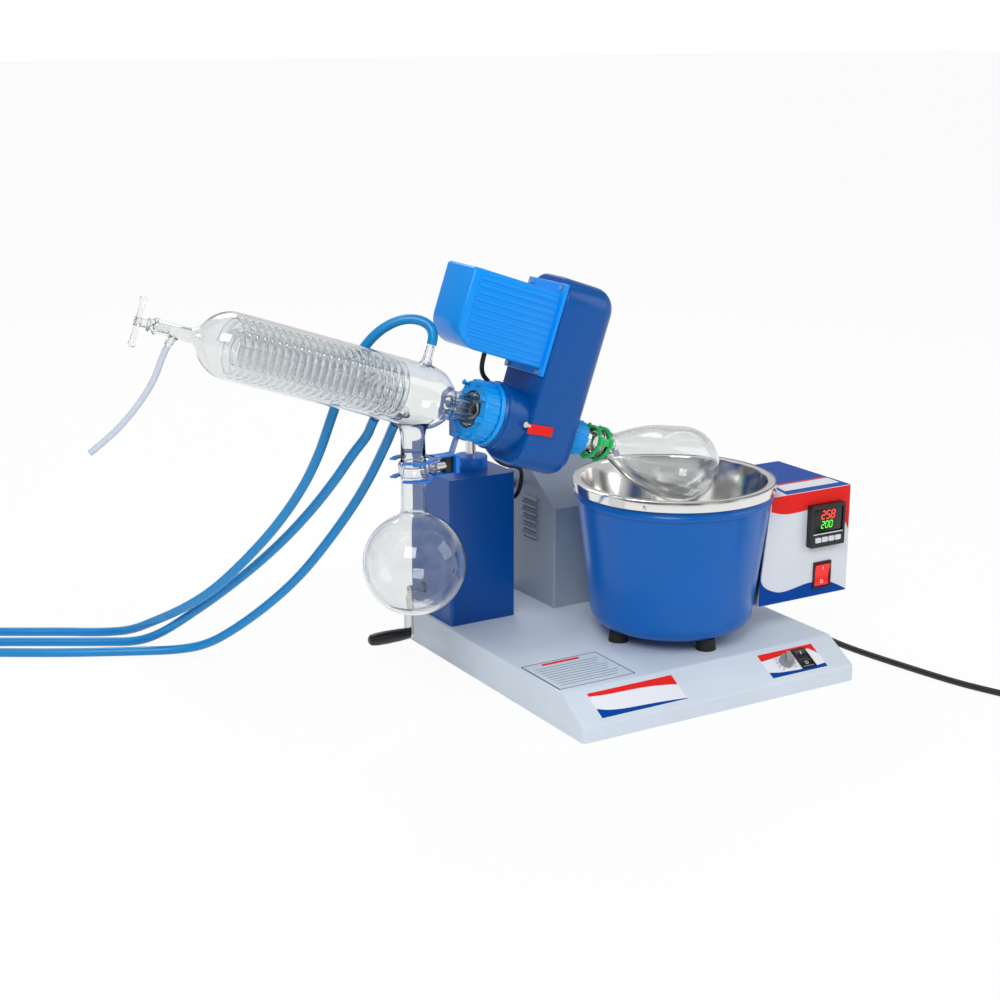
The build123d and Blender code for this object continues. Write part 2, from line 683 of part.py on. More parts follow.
with BuildPart() as control_box:
    with BuildSketch(Plane.XZ.offset(-BOX_FRONT)):
        add(box_profile(0))
        make_face()
    extrude(amount=-BOX_DEPTH)
    with BuildSketch(Plane.XZ.offset(-BOX_FRONT - SHEET)):
        add(box_profile(SHEET))
        make_face()
    extrude(amount=-BOX_DEPTH + 2 * SHEET, mode=Mode.SUBTRACT)
    with BuildSketch(bath_plane):
        with BuildLine():
            Polyline(
                (0, BATH_FLOOR),
                (BATH_FLOOR_RADIUS + GAP, BATH_FLOOR),
                (BATH_FLOOR_RADIUS + GAP, BATH_FLOOR + BATH_ROUNDING),
                (BATH_TOP_RADIUS + GAP, body_top),
                (0, body_top),
                close=True,
            )
        make_face()
    revolve(axis=bath_axis, mode=Mode.SUBTRACT)
    with BuildSketch(bath_plane):
        with Locations((BATH_TOP_RADIUS - 1.2, body_top - 9)):
            Circle(BEAD_RADIUS + GAP)
    revolve(axis=bath_axis, mode=Mode.SUBTRACT)
    with BuildSketch(Plane.XZ.offset(-BOX_FRONT)):
        with Locations((CONTROLLER_X, CONTROLLER_Z)):
            Rectangle(CONTROLLER_SIZE - 3, CONTROLLER_SIZE - 3)
        with Locations((HEATER_SWITCH_X, HEATER_SWITCH_Z)):
            Rectangle(HEATER_SWITCH_WIDTH - BEZEL_RIM, HEATER_SWITCH_LENGTH - BEZEL_RIM)
    extrude(amount=-2 * SHEET, mode=Mode.SUBTRACT)
save(control_box, "control_box")

# Temperature controller with a sunk window and four keys
controller_front = BOX_FRONT - CONTROLLER_PROUD
key_z = CONTROLLER_Z - KEY_ROW_DROP
with BuildPart() as temperature_controller:
    with BuildSketch(Plane.XZ.offset(-BOX_FRONT)):
        with Locations((CONTROLLER_X, CONTROLLER_Z)):
            RectangleRounded(CONTROLLER_SIZE, CONTROLLER_SIZE, 1.5)
    extrude(amount=CONTROLLER_PROUD)
    with BuildSketch(Plane.XZ.offset(-BOX_FRONT)):
        with Locations((CONTROLLER_X, CONTROLLER_Z)):
            Rectangle(CONTROLLER_SIZE - 3 - 2 * GAP, CONTROLLER_SIZE - 3 - 2 * GAP)
    extrude(amount=-CONTROLLER_DEPTH)
    with BuildSketch(Plane.XZ.offset(-controller_front)):
        with Locations((CONTROLLER_X, CONTROLLER_Z + 6)):
            Rectangle(CONTROLLER_SIZE - 6, 27)
    extrude(amount=-1.5, mode=Mode.SUBTRACT)
    with BuildSketch(Plane.XZ.offset(-controller_front)):
        with Locations((CONTROLLER_X, key_z)):
            with GridLocations(KEY_PITCH, 0, KEY_COUNT, 1):
                Rectangle(KEY_WIDTH + 2 * GAP, KEY_HEIGHT + 2 * GAP)
    extrude(amount=-3, mode=Mode.SUBTRACT)
save(temperature_controller, "temperature_controller")

for key in range(KEY_COUNT):
    key_x = CONTROLLER_X + (key - (KEY_COUNT - 1) / 2) * KEY_PITCH
    with BuildPart() as controller_key:
        with BuildSketch(Plane.XZ.offset(-controller_front - 3 + KEY_TRAVEL + GAP)):
            with Locations((key_x, key_z)):
                RectangleRounded(KEY_WIDTH, KEY_HEIGHT, 1)
        extrude(amount=3)
    save(controller_key, f"controller_key_{key + 1}")

heater_face = Plane(
    (HEATER_SWITCH_X, BOX_FRONT, HEATER_SWITCH_Z), x_dir=(1, 0, 0), z_dir=(0, -1, 0)
)
heater_switch_bezel, heater_switch_rocker = rocker_switch(
    heater_face, HEATER_SWITCH_WIDTH, HEATER_SWITCH_LENGTH
)
save(heater_switch_bezel, "heater_switch_bezel")
save(heater_switch_rocker, "heater_switch_rocker")

# Head housing: a rounded gear case with the bearing boss low on its left face
case_height = HOUSING_HIGH - HOUSING_LOW
case_middle = (HOUSING_HIGH + HOUSING_LOW) / 2
cavity_end = HOUSING_END - HOUSING_ROUNDING
right_bearing_end = HOUSING_END - 3 * HOUSING_WALL
with BuildPart() as head_housing:
    with BuildSketch(end_plane(HOUSING_START, case_middle)):
        RectangleRounded(HOUSING_WIDTH, case_height, HOUSING_CORNER)
    extrude(amount=HOUSING_END - HOUSING_START)
    fillet(head_housing.faces().sort_by(rotary_axis)[-1].edges(), radius=HOUSING_ROUNDING)
    fillet(head_housing.faces().sort_by(rotary_axis)[0].edges(), radius=3)
    with BuildSketch(end_plane(BOSS_START)):
        Circle(BOSS_RADIUS)
    extrude(amount=HOUSING_START - BOSS_START + HOUSING_WALL)
    with BuildSketch(end_plane(BOSS_START + 3)):
        Circle(BOSS_RING_RADIUS)
    extrude(amount=BOSS_RING_WIDTH)
    with BuildSketch(end_plane(SPIGOT_START)):
        Circle(SPIGOT_RADIUS)
    extrude(amount=BOSS_START - SPIGOT_START)
    with BuildSketch(end_plane(HOUSING_START + HOUSING_WALL, case_middle)):
        RectangleRounded(
            HOUSING_WIDTH - 2 * HOUSING_WALL,
            case_height - 2 * HOUSING_WALL,
            HOUSING_CORNER - HOUSING_WALL,
        )
    extrude(amount=cavity_end - HOUSING_START - HOUSING_WALL, mode=Mode.SUBTRACT)
    with BuildSketch(end_plane(cavity_end - 1)):
        Circle(BEARING_RADIUS)
    extrude(amount=right_bearing_end - cavity_end + 1, mode=Mode.SUBTRACT)
    with BuildSketch(end_plane(SPIGOT_START)):
        Circle(BEARING_RADIUS)
    extrude(amount=HOUSING_START - SPIGOT_START + 2 * HOUSING_WALL, mode=Mode.SUBTRACT)
    with BuildSketch(end_plane(HOUSING_START, MOTOR_HEIGHT)):
        Circle(MOTOR_RADIUS + GAP)
    extrude(amount=2 * HOUSING_WALL, both=True, mode=Mode.SUBTRACT)
    with BuildSketch(end_plane(right_bearing_end - 1)):
        Circle(SPINDLE_RADIUS + 3)
    extrude(amount=4 * HOUSING_WALL, mode=Mode.SUBTRACT)
save(head_housing, "head_housing")

# Two ball bearings of the spindle, in the boss and in the case's right wall
bearing_length = BEARING_WIDTH - HOUSING_WALL
with BuildPart() as spindle_bearings:
    for start in (BOSS_START + 4, right_bearing_end - bearing_length):
        with BuildSketch(end_plane(start)):
            Circle(BEARING_RADIUS - 0.02)
            Circle(SPINDLE_RADIUS + RUNNING, mode=Mode.SUBTRACT)
        extrude(amount=bearing_length)
save(spindle_bearings, "spindle_bearings")

# Hollow drive spindle with its toothed-belt pulley
with BuildPart() as drive_spindle:
    with BuildSketch(end_plane(SPIGOT_START + 5)):
        Circle(SPINDLE_RADIUS)
    extrude(amount=SPINDLE_END - SPIGOT_START - 5)
    with BuildSketch(end_plane(PULLEY_START)):
        Circle(SPINDLE_PULLEY_RADIUS)
    extrude(amount=PULLEY_WIDTH)
    for flange_start in (PULLEY_START - 1.5, PULLEY_START + PULLEY_WIDTH):
        with BuildSketch(end_plane(flange_start)):
            Circle(SPINDLE_PULLEY_RADIUS + 3)
        extrude(amount=1.5)
    with BuildSketch(end_plane(SPIGOT_START)):
        Circle(SPINDLE_BORE)
    extrude(amount=SPINDLE_END, mode=Mode.SUBTRACT)
save(drive_spindle, "drive_spindle")

with BuildPart() as motor:
    with BuildSketch(end_plane(MOTOR_START, MOTOR_HEIGHT)):
        Circle(MOTOR_RADIUS)
    extrude(amount=HOUSING_START + HOUSING_WALL - MOTOR_START)
    fillet(motor.edges().sort_by(rotary_axis)[0], radius=4)
    with BuildSketch(end_plane(HOUSING_START - 12, MOTOR_HEIGHT)):
        Circle(MOTOR_SHAFT_RADIUS + RUNNING)
    extrude(amount=40, mode=Mode.SUBTRACT)
save(motor, "motor")

with BuildPart() as motor_rotor:
    with BuildSketch(end_plane(HOUSING_START - 11, MOTOR_HEIGHT)):
        Circle(MOTOR_SHAFT_RADIUS)
    extrude(amount=PULLEY_START + PULLEY_WIDTH + 6 - HOUSING_START + 11)
    with BuildSketch(end_plane(PULLEY_START, MOTOR_HEIGHT)):
        Circle(MOTOR_PULLEY_RADIUS)
    extrude(amount=PULLEY_WIDTH)
    for flange_start in (PULLEY_START - 1.5, PULLEY_START + PULLEY_WIDTH):
        with BuildSketch(end_plane(flange_start, MOTOR_HEIGHT)):
            Circle(MOTOR_PULLEY_RADIUS + 3)
        extrude(amount=1.5)
save(motor_rotor, "motor_rotor")

# Drive belt round both pulleys
pulley_spread = math.asin((SPINDLE_PULLEY_RADIUS - MOTOR_PULLEY_RADIUS) / MOTOR_HEIGHT)


def belt_outline(extra):
    """Outline of the belt's loop, extra outside the pulleys, in (across, rise)."""
    low = SPINDLE_PULLEY_RADIUS + extra
    high = MOTOR_PULLEY_RADIUS + extra
    lean = (math.cos(pulley_spread), math.sin(pulley_spread))
    with BuildLine() as outline:
        right = Line(
            (low * lean[0], low * lean[1]), (high * lean[0], MOTOR_HEIGHT + high * lean[1])
        )
        left = Line(
            (-high * lean[0], MOTOR_HEIGHT + high * lean[1]), (-low * lean[0], low * lean[1])
        )
        ThreePointArc(right @ 1, (0, MOTOR_HEIGHT + high), left @ 0)
        ThreePointArc(left @ 1, (0, -low), right @ 0)
    return outline.line


with BuildPart() as drive_belt:
    with BuildSketch(end_plane(PULLEY_START + 1)):
        add(belt_outline(GAP + BELT_THICKNESS))
        make_face()
    extrude(amount=PULLEY_WIDTH - 2)
    with BuildSketch(end_plane(PULLEY_START + 1)):
        add(belt_outline(GAP))
        make_face()
    extrude(amount=PULLEY_WIDTH - 2, mode=Mode.SUBTRACT)
save(drive_belt, "drive_belt")

# Ribbed motor cover: a flat end, a rounded lower corner and a flange on the case
cover_height = COVER_HIGH - COVER_LOW
flange_face = HOUSING_START - GAP
cover_taper = math.degrees(
    math.atan2((COVER_WIDTH - COVER_END_WIDTH) / 2, flange_face - COVER_START)
)
with BuildPart() as motor_cover:
    with BuildSketch(side_plane()):
        with BuildLine():
            Polyline(
                (flange_face, COVER_LOW),
                (flange_face, COVER_HIGH),
                (COVER_START, COVER_HIGH),
                (COVER_START, COVER_LOW + COVER_CORNER),
            )
            ThreePointArc(
                (COVER_START, COVER_LOW + COVER_CORNER),
                (
                    COVER_START + COVER_CORNER * (1 - math.sqrt(0.5)),
                    COVER_LOW + COVER_CORNER * (1 - math.sqrt(0.5)),
                ),
                (COVER_START + COVER_CORNER, COVER_LOW),
            )
            Line((COVER_START + COVER_CORNER, COVER_LOW), (flange_face, COVER_LOW))
        make_face()
    extrude(amount=COVER_WIDTH / 2, both=True)
    with BuildSketch(end_plane(flange_face - FLANGE_THICKNESS, (FLANGE_HIGH + FLANGE_LOW) / 2)):
        RectangleRounded(HOUSING_WIDTH - 2, FLANGE_HIGH - FLANGE_LOW, 12)
    extrude(amount=FLANGE_THICKNESS)
    rib_pitch = (COVER_HIGH - COVER_LOW - 12) / (COVER_RIBS - 1)
    with BuildSketch(end_plane(COVER_START + 8)):
        for rib in range(COVER_RIBS - 1):
            for side in (-1, 1):
                with Locations(
                    (side * COVER_WIDTH / 2, COVER_LOW + 6 + (rib + 0.5) * rib_pitch)
                ):
                    Rectangle(1.6, 2.2)
    extrude(amount=flange_face - FLANGE_THICKNESS - COVER_START - 8, mode=Mode.SUBTRACT)
    with BuildSketch(side_plane()):
        with BuildLine():
            inner = COVER_WALL + 1
            Polyline(
                (flange_face, COVER_LOW + inner),
                (flange_face, COVER_HIGH - inner),
                (COVER_START + inner, COVER_HIGH - inner),
                (COVER_START + inner, COVER_LOW + COVER_CORNER),
                (COVER_START + COVER_CORNER, COVER_LOW + inner),
                close=True,
            )
        make_face()
    extrude(amount=COVER_WIDTH / 2 - inner, both=True, mode=Mode.SUBTRACT)
save(motor_cover, "motor_cover")

# Screws of the cover's flange
with BuildPart() as cover_screws:
    for rise in (FLANGE_LOW + 3.3, FLANGE_HIGH - 4.5):
        for across in (-HOUSING_WIDTH / 2 + 9, HOUSING_WIDTH / 2 - 9):
            with BuildSketch(end_plane(flange_face - FLANGE_THICKNESS, rise).offset(-2)):
                with Locations((across, 0)):
                    Circle(2.4)
            extrude(amount=2)
save(cover_screws, "cover_screws")

# Ribbed nut that holds the condenser's flange on the boss
rib_depth = 1.2
with BuildPart() as condenser_nut:
    with BuildSketch(end_plane(NUT_FACE)):
        Circle(NUT_RADIUS)
        with PolarLocations(NUT_RADIUS, NUT_RIBS):
            Circle(rib_depth * 1.3)
    extrude(amount=BOSS_START - GAP - NUT_FACE)
    with BuildSketch(end_plane(NUT_FACE)):
        Circle(NUT_BORE)
    extrude(amount=BOSS_START, mode=Mode.SUBTRACT)
    with BuildSketch(end_plane(NUT_FACE + 5)):
        Circle(SPIGOT_RADIUS)
    extrude(amount=BOSS_START, mode=Mode.SUBTRACT)
save(condenser_nut, "condenser_nut")

# Sealing ring between the condenser's flange and the spigot
with BuildPart() as shaft_seal:
    with BuildSketch(end_plane(SPIGOT_START - 3)):
        Circle(SPIGOT_RADIUS - 2)
        Circle(VAPOUR_RADIUS + RUNNING, mode=Mode.SUBTRACT)
    extrude(amount=3)
save(shaft_seal, "shaft_seal")

# Ribbed collar that holds the vapour tube in the spindle
collar_start = HOUSING_END + 1
with BuildPart() as end_collar:
    with BuildSketch(end_plane(collar_start)):
        Circle(END_COLLAR_RADIUS)
        with PolarLocations(END_COLLAR_RADIUS, END_COLLAR_RIBS):
            Circle(1.5)
    extrude(amount=END_COLLAR_LENGTH)
    with BuildSketch(end_plane(collar_start)):
        Circle(SPINDLE_RADIUS)
    extrude(amount=END_COLLAR_LENGTH, mode=Mode.SUBTRACT)
save(end_collar, "end_collar")

# Vapour tube: turns with the spindle and ends in the ground cone of the flask joint
with BuildPart() as vapour_tube:
    with BuildSketch(side_plane()):
        with BuildLine():
            Polyline(
                (-30, VAPOUR_RADIUS - GLASS_WALL),
                (-30, VAPOUR_RADIUS),
                (SPINDLE_END + 4, VAPOUR_RADIUS),
                (SPINDLE_END + 8, JOINT_RADIUS - GLASS_WALL),
                (FLASK_NECK_END, JOINT_RADIUS - GLASS_WALL - 2),
                (FLASK_NECK_END, JOINT_RADIUS - 2 * GLASS_WALL - 2),
                (SPINDLE_END + 9, JOINT_RADIUS - 2 * GLASS_WALL - 1),
                (SPINDLE_END + 4, VAPOUR_RADIUS - GLASS_WALL),
                close=True,
            )
        make_face()
    revolve(axis=rotary_axis)
save(vapour_tube, "vapour_tube")

# Evaporating flask: pear shape, its cone tangent to the ball
cone_start = FLASK_NECK_END + 3
reach = FLASK_CENTRE - cone_start
neck_radius = JOINT_RADIUS + 1.2
lean_angle = math.asin((FLASK_RADIUS - neck_radius) / reach)
tangent_s = FLASK_CENTRE - FLASK_RADIUS * math.sin(lean_angle)
tangent_radius = FLASK_RADIUS * math.cos(lean_angle)
inner_ball = FLASK_RADIUS - GLASS_WALL
with BuildPart() as evaporating_flask:
    with BuildSketch(side_plane()):
        with BuildLine():
            Polyline(
                (FLASK_NECK_START, JOINT_RADIUS - GLASS_WALL + 0.05),
                (FLASK_NECK_START, neck_radius + 1.5),
                (FLASK_NECK_START + 3, neck_radius + 1.5),
                (FLASK_NECK_START + 4, neck_radius),
                (cone_start, neck_radius),
                (tangent_s, tangent_radius),
            )
            ThreePointArc(
                (tangent_s, tangent_radius),
                (FLASK_CENTRE + FLASK_RADIUS * math.sqrt(0.5), FLASK_RADIUS * math.sqrt(0.5)),
                (FLASK_CENTRE + FLASK_RADIUS, 0),
            )
            Line((FLASK_CENTRE + FLASK_RADIUS, 0), (FLASK_CENTRE + inner_ball, 0))
            ThreePointArc(
                (FLASK_CENTRE + inner_ball, 0),
                (FLASK_CENTRE + inner_ball * math.sqrt(0.5), inner_ball * math.sqrt(0.5)),
                (tangent_s + GLASS_WALL * math.sin(lean_angle), tangent_radius - GLASS_WALL),
            )
            Polyline(
                (tangent_s + GLASS_WALL * math.sin(lean_angle), tangent_radius - GLASS_WALL),
                (cone_start, neck_radius - GLASS_WALL),
                (FLASK_NECK_START, JOINT_RADIUS - GLASS_WALL + 0.05),
            )
        make_face()
    revolve(axis=rotary_axis)
save(evaporating_flask, "evaporating_flask")

# Joint clip round the flask's neck
with BuildPart() as joint_clip:
    for clip_start in (FLASK_NECK_START - 8, FLASK_NECK_START + 5):
        with BuildSketch(end_plane(clip_start)):
            Circle(neck_radius + 3.4)
            Circle(neck_radius + 0.1, mode=Mode.SUBTRACT)
        extrude(amount=3)
    with BuildSketch(end_plane(clip_start - 13)):
        with PolarLocations(neck_radius + 2.6, 3, start_angle=200):
            Rectangle(1.6, 7)
    extrude(amount=16)
save(joint_clip, "joint_clip")

# Condenser jacket: glass tube with a drawn shoulder and stem at the left
shoulder = CONDENSER_NECK_START - CONDENSER_LEFT
jacket_wall = GLASS_WALL
with BuildPart() as condenser_jacket:
    with BuildSketch(side_plane()):
        with BuildLine():
            Polyline(
                (CONDENSER_END, CONDENSER_NECK_RADIUS - jacket_wall),
                (CONDENSER_END, CONDENSER_NECK_RADIUS),
                (CONDENSER_NECK_START, CONDENSER_NECK_RADIUS),
            )
            Spline(
                (CONDENSER_NECK_START, CONDENSER_NECK_RADIUS),
                (CONDENSER_NECK_START + 7, 15),
                (CONDENSER_NECK_START + 13, 27),
                (CONDENSER_LEFT, CONDENSER_RADIUS),
                tangents=((1, 0), (1, 0)),
            )
            Line((CONDENSER_LEFT, CONDENSER_RADIUS), (CONDENSER_RIGHT, CONDENSER_RADIUS))
            Spline(
                (CONDENSER_RIGHT, CONDENSER_RADIUS),
                (-52, 25),
                (-30, 14),
                tangents=((1, 0), (1, 0)),
            )
            Polyline(
                (-30, 14),
                (-4, 14),
                (-3, FLANGE_RADIUS),
                (NUT_FACE + 5.3, FLANGE_RADIUS),
                (NUT_FACE + 5.3, FLANGE_RADIUS + 5),
                (SPIGOT_START - 3, FLANGE_RADIUS + 5),
                (SPIGOT_START - 3, 14 - jacket_wall),
                (-30, 14 - jacket_wall),
            )
            Spline(
                (-30, 14 - jacket_wall),
                (-53, 25 - jacket_wall),
                (CONDENSER_RIGHT, CONDENSER_RADIUS - jacket_wall),
                tangents=((-1, 0), (-1, 0)),
            )
            Line(
                (CONDENSER_RIGHT, CONDENSER_RADIUS - jacket_wall),
                (CONDENSER_LEFT, CONDENSER_RADIUS - jacket_wall),
            )
            Spline(
                (CONDENSER_LEFT, CONDENSER_RADIUS - jacket_wall),
                (CONDENSER_NECK_START + 14, 25),
                (CONDENSER_NECK_START + 8, 13),
                (CONDENSER_NECK_START, CONDENSER_NECK_RADIUS - jacket_wall),
                tangents=((-1, 0), (-1, 0)),
            )
            Line(
                (CONDENSER_NECK_START, CONDENSER_NECK_RADIUS - jacket_wall),
                (CONDENSER_END, CONDENSER_NECK_RADIUS - jacket_wall),
            )
        make_face()
    revolve(axis=rotary_axis)
    outlet_s = (OUTLET_X - AXIS_X) / math.cos(tilt)
    outlet_top = on_axis(outlet_s).Z
    with BuildSketch(Plane.XY.offset(OUTLET_END)):
        with Locations((OUTLET_X, AXIS_Y)):
            Circle(OUTLET_RADIUS)
    extrude(amount=outlet_top - CONDENSER_RADIUS * 0.75 - OUTLET_END)
    with BuildSketch(Plane.XY.offset(OUTLET_END)):
        with Locations((OUTLET_X, AXIS_Y)):
            Circle(BALL_RADIUS)
    extrude(amount=3)
    with BuildSketch(Plane.XY.offset(OUTLET_END)):
        with Locations((OUTLET_X, AXIS_Y)):
            Circle(OUTLET_RADIUS - jacket_wall)
    extrude(amount=outlet_top - CONDENSER_RADIUS * 0.6 - OUTLET_END, mode=Mode.SUBTRACT)
    nozzle_directions = [(TOP_NOZZLE_S, rise_direction)]
    for nozzle_s in BACK_NOZZLES_S:
        nozzle_directions.append((nozzle_s, Vector(0, math.sqrt(0.5), -math.sqrt(0.5))))
    for nozzle_s, direction in nozzle_directions:
        root_point = on_axis(nozzle_s) + direction * (CONDENSER_RADIUS - 1)
        nozzle_root = Plane(root_point, x_dir=axis_direction, z_dir=direction)
        with BuildSketch(nozzle_root):
            Circle(NOZZLE_ROOT)
        with BuildSketch(nozzle_root.offset(NOZZLE_REACH)):
            Circle(NOZZLE_TIP)
        loft()
    side_root = Plane(
        on_axis(SIDE_NOZZLE_S, -CONDENSER_NECK_RADIUS + 1),
        x_dir=(0, 1, 0),
        z_dir=(-rise_direction - axis_direction * 0.25).normalized(),
    )
    with BuildSketch(side_root):
        Circle(NOZZLE_TIP)
    extrude(amount=10)
save(condenser_jacket, "condenser_jacket")


def coil_envelope(radius, turns, lead_s):
    """Ring-shaped turns of a glass coil that touch their neighbours, with its lead to the jacket."""
    coil_end = COIL_START + turns * COIL_PITCH
    with BuildPart() as coil:
        with BuildSketch(side_plane()):
            with BuildLine():
                for turn in range(turns):
                    low = COIL_START + turn * COIL_PITCH
                    ThreePointArc(
                        (low, radius),
                        (low + COIL_PITCH / 2, radius + COIL_TUBE_RADIUS),
                        (low + COIL_PITCH, radius),
                    )
                Polyline(
                    (coil_end, radius),
                    (coil_end, radius - COIL_TUBE_RADIUS),
                    (COIL_START, radius - COIL_TUBE_RADIUS),
                    (COIL_START, radius),
                )
            make_face()
        revolve(axis=rotary_axis)
        lead_start = on_axis(lead_s, 0, radius - COIL_TUBE_RADIUS)
        with BuildSketch(Plane(lead_start, x_dir=axis_direction, z_dir=(0, 1, 0))):
            Circle(COIL_TUBE_RADIUS)
        extrude(amount=CONDENSER_RADIUS - GLASS_WALL - 0.17 - radius + COIL_TUBE_RADIUS)
    return coil


coil_end = COIL_START + COIL_TURNS * COIL_PITCH
outer_coil = coil_envelope(COIL_RADIUS, COIL_TURNS, coil_end - COIL_PITCH)
save(outer_coil, "outer_coil")
inner_coil = coil_envelope(INNER_COIL_RADIUS, COIL_TURNS + 1, coil_end + COIL_PITCH / 2)
save(inner_coil, "inner_coil")

# Stopcock: a glass key with a T bar in the stem's end
with BuildPart() as stopcock_key:
    with BuildSketch(end_plane(STOPCOCK_S)):
        Circle(CONDENSER_NECK_RADIUS - jacket_wall - RUNNING)
    extrude(amount=28)
    with BuildSketch(end_plane(CONDENSER_END - GAP - 5)):
        Circle(CONDENSER_NECK_RADIUS)
    extrude(amount=5)
    with BuildSketch(
        Plane(on_axis(STOPCOCK_S, -STOPCOCK_BAR / 2), x_dir=(0, 1, 0), z_dir=rise_direction)
    ):
        Circle(2.9)
    extrude(amount=STOPCOCK_BAR)
save(stopcock_key, "stopcock_key")

# Receiving flask under the condenser's outlet
neck_meet = RECEIVER_Z + math.sqrt(RECEIVER_RADIUS**2 - RECEIVER_NECK_RADIUS**2)
receiver_inner = RECEIVER_RADIUS - GLASS_WALL
neck_inner = RECEIVER_NECK_RADIUS - GLASS_WALL
inner_meet = RECEIVER_Z + math.sqrt(receiver_inner**2 - neck_inner**2)
receiver_plane = Plane((OUTLET_X, AXIS_Y, 0), x_dir=(1, 0, 0), z_dir=(0, -1, 0))
with BuildPart() as receiving_flask:
    with BuildSketch(receiver_plane):
        with BuildLine():
            ThreePointArc(
                (0, RECEIVER_Z - RECEIVER_RADIUS),
                (RECEIVER_RADIUS, RECEIVER_Z),
                (RECEIVER_NECK_RADIUS, neck_meet),
            )
            Polyline(
                (RECEIVER_NECK_RADIUS, neck_meet),
                (RECEIVER_NECK_RADIUS, RECEIVER_NECK_TOP),
                (BALL_RADIUS, RECEIVER_NECK_TOP + 4),
                (BALL_RADIUS, OUTLET_END),
                (neck_inner, OUTLET_END),
                (neck_inner, inner_meet),
            )
            ThreePointArc(
                (neck_inner, inner_meet),
                (receiver_inner, RECEIVER_Z),
                (0, RECEIVER_Z - receiver_inner),
            )
            Line((0, RECEIVER_Z - receiver_inner), (0, RECEIVER_Z - RECEIVER_RADIUS))
        make_face()
    revolve(axis=Axis((OUTLET_X, AXIS_Y, 0), (0, 0, 1)))
save(receiving_flask, "receiving_flask")

# Head bracket: block on the rod's top and an arm forward to the case
bracket_middle = bracket_floor + BRACKET_HEIGHT / 2
pad_centre = on_axis(HOUSING_START + HOUSING_WALL + 20, -4, HOUSING_WIDTH / 2)
with BuildPart() as head_bracket:
    with BuildSketch(Plane.XY.offset(bracket_floor)):
        with Locations((ROD_X, ROD_Y)):
            RectangleRounded(BRACKET_SIZE, BRACKET_SIZE, 5)
    extrude(amount=BRACKET_HEIGHT)
    with BuildSketch(Plane.XZ.offset(-(ROD_Y - BRACKET_SIZE / 2 + 2))):
        with Locations((ROD_X, bracket_middle + 6)):
            RectangleRounded(30, 30, 6)
    with BuildSketch(Plane.XZ.offset(-pad_centre.Y)):
        with Locations((pad_centre.X, pad_centre.Z)):
            RectangleRounded(30, 30, 6)
    loft()
    with BuildSketch(Plane.XZ.offset(-pad_centre.Y)):
        with Locations((pad_centre.X, pad_centre.Z)):
            Circle(21)
    extrude(amount=-7)
    with BuildSketch(Plane.XY.offset(bracket_floor)):
        with Locations((ROD_X, ROD_Y)):
            Circle(ROD_RADIUS)
    extrude(amount=BRACKET_HEIGHT * 0.75, mode=Mode.SUBTRACT)
save(head_bracket, "head_bracket")

# Clamp bar: flat bar on edge from the bracket's block to the receiver's clamp
bar_start = Vector(ROD_X - BRACKET_SIZE / 2 - 1.5, ROD_Y - 10, bracket_floor + 12)
bar_end = Vector(OUTLET_X + 46, AXIS_Y + 10, FORK_LOWER_Z + 11)
bar_direction = (bar_end - bar_start).normalized()
bar_length = (bar_end - bar_start).length
with BuildPart() as clamp_bar:
    with BuildSketch(Plane(bar_start, x_dir=(0, 0, 1), z_dir=bar_direction)):
        Rectangle(12, 3)
    extrude(amount=bar_length)
    with BuildSketch(Plane.YZ.offset(ROD_X - BRACKET_SIZE / 2)):
        with Locations((bar_start.Y, bar_start.Z)):
            RectangleRounded(18, 18, 2)
    extrude(amount=-3)
    with BuildSketch(Plane.YZ.offset(bar_end.X - 3)):
        with Locations((bar_end.Y - 8, bar_end.Z)):
            RectangleRounded(24, 18, 2)
    extrude(amount=4)
    with BuildSketch(Plane.YZ.offset(bar_end.X + 1)):
        with Locations((AXIS_Y - 1, bar_end.Z)):
            RegularPolygon(4.6, 6)
    extrude(amount=4)
save(clamp_bar, "clamp_bar")

# Clamp forks: two prongs above and below the joint on one root block
root_x = bar_end.X - 3
fork_left = OUTLET_X - FORK_REACH
with BuildPart() as clamp_forks:
    for fork_z in (FORK_LOWER_Z, FORK_UPPER_Z):
        with BuildSketch(Plane.XY.offset(fork_z)):
            with Locations(((fork_left + root_x) / 2, AXIS_Y)):
                Rectangle(root_x - fork_left, 2 * (FORK_INNER + FORK_TINE))
            with Locations((OUTLET_X, AXIS_Y)):
                Circle(FORK_INNER, mode=Mode.SUBTRACT)
            with Locations(((fork_left + OUTLET_X) / 2 - 5, AXIS_Y)):
                Rectangle(OUTLET_X - fork_left + 10, 2 * FORK_INNER, mode=Mode.SUBTRACT)
            with Locations(((OUTLET_X + root_x) / 2 + 3, AXIS_Y)):
                Rectangle(root_x - OUTLET_X - 22, 2 * FORK_INNER, mode=Mode.SUBTRACT)
        extrude(amount=FORK_THICKNESS)
    with BuildSketch(Plane.XY.offset(FORK_LOWER_Z + FORK_THICKNESS)):
        with Locations((root_x - 4, AXIS_Y)):
            Rectangle(8, 2 * (FORK_INNER + FORK_TINE))
    extrude(amount=FORK_UPPER_Z - FORK_LOWER_Z - FORK_THICKNESS)
save(clamp_forks, "clamp_forks")

# Thumb screw of the clamp, with its black knurled knob
screw_z = (FORK_LOWER_Z + FORK_UPPER_Z + FORK_THICKNESS) / 2
with BuildPart() as clamp_screw:
    with BuildSketch(Plane.YZ.offset(root_x - 8)):
        with Locations((AXIS_Y, screw_z)):
            Circle(5.5)
    extrude(amount=-11)
    with BuildSketch(Plane.YZ.offset(root_x - 19)):
        with Locations((AXIS_Y, screw_z)):
            Circle(2.5)
    extrude(amount=-4)
save(clamp_screw, "clamp_screw")



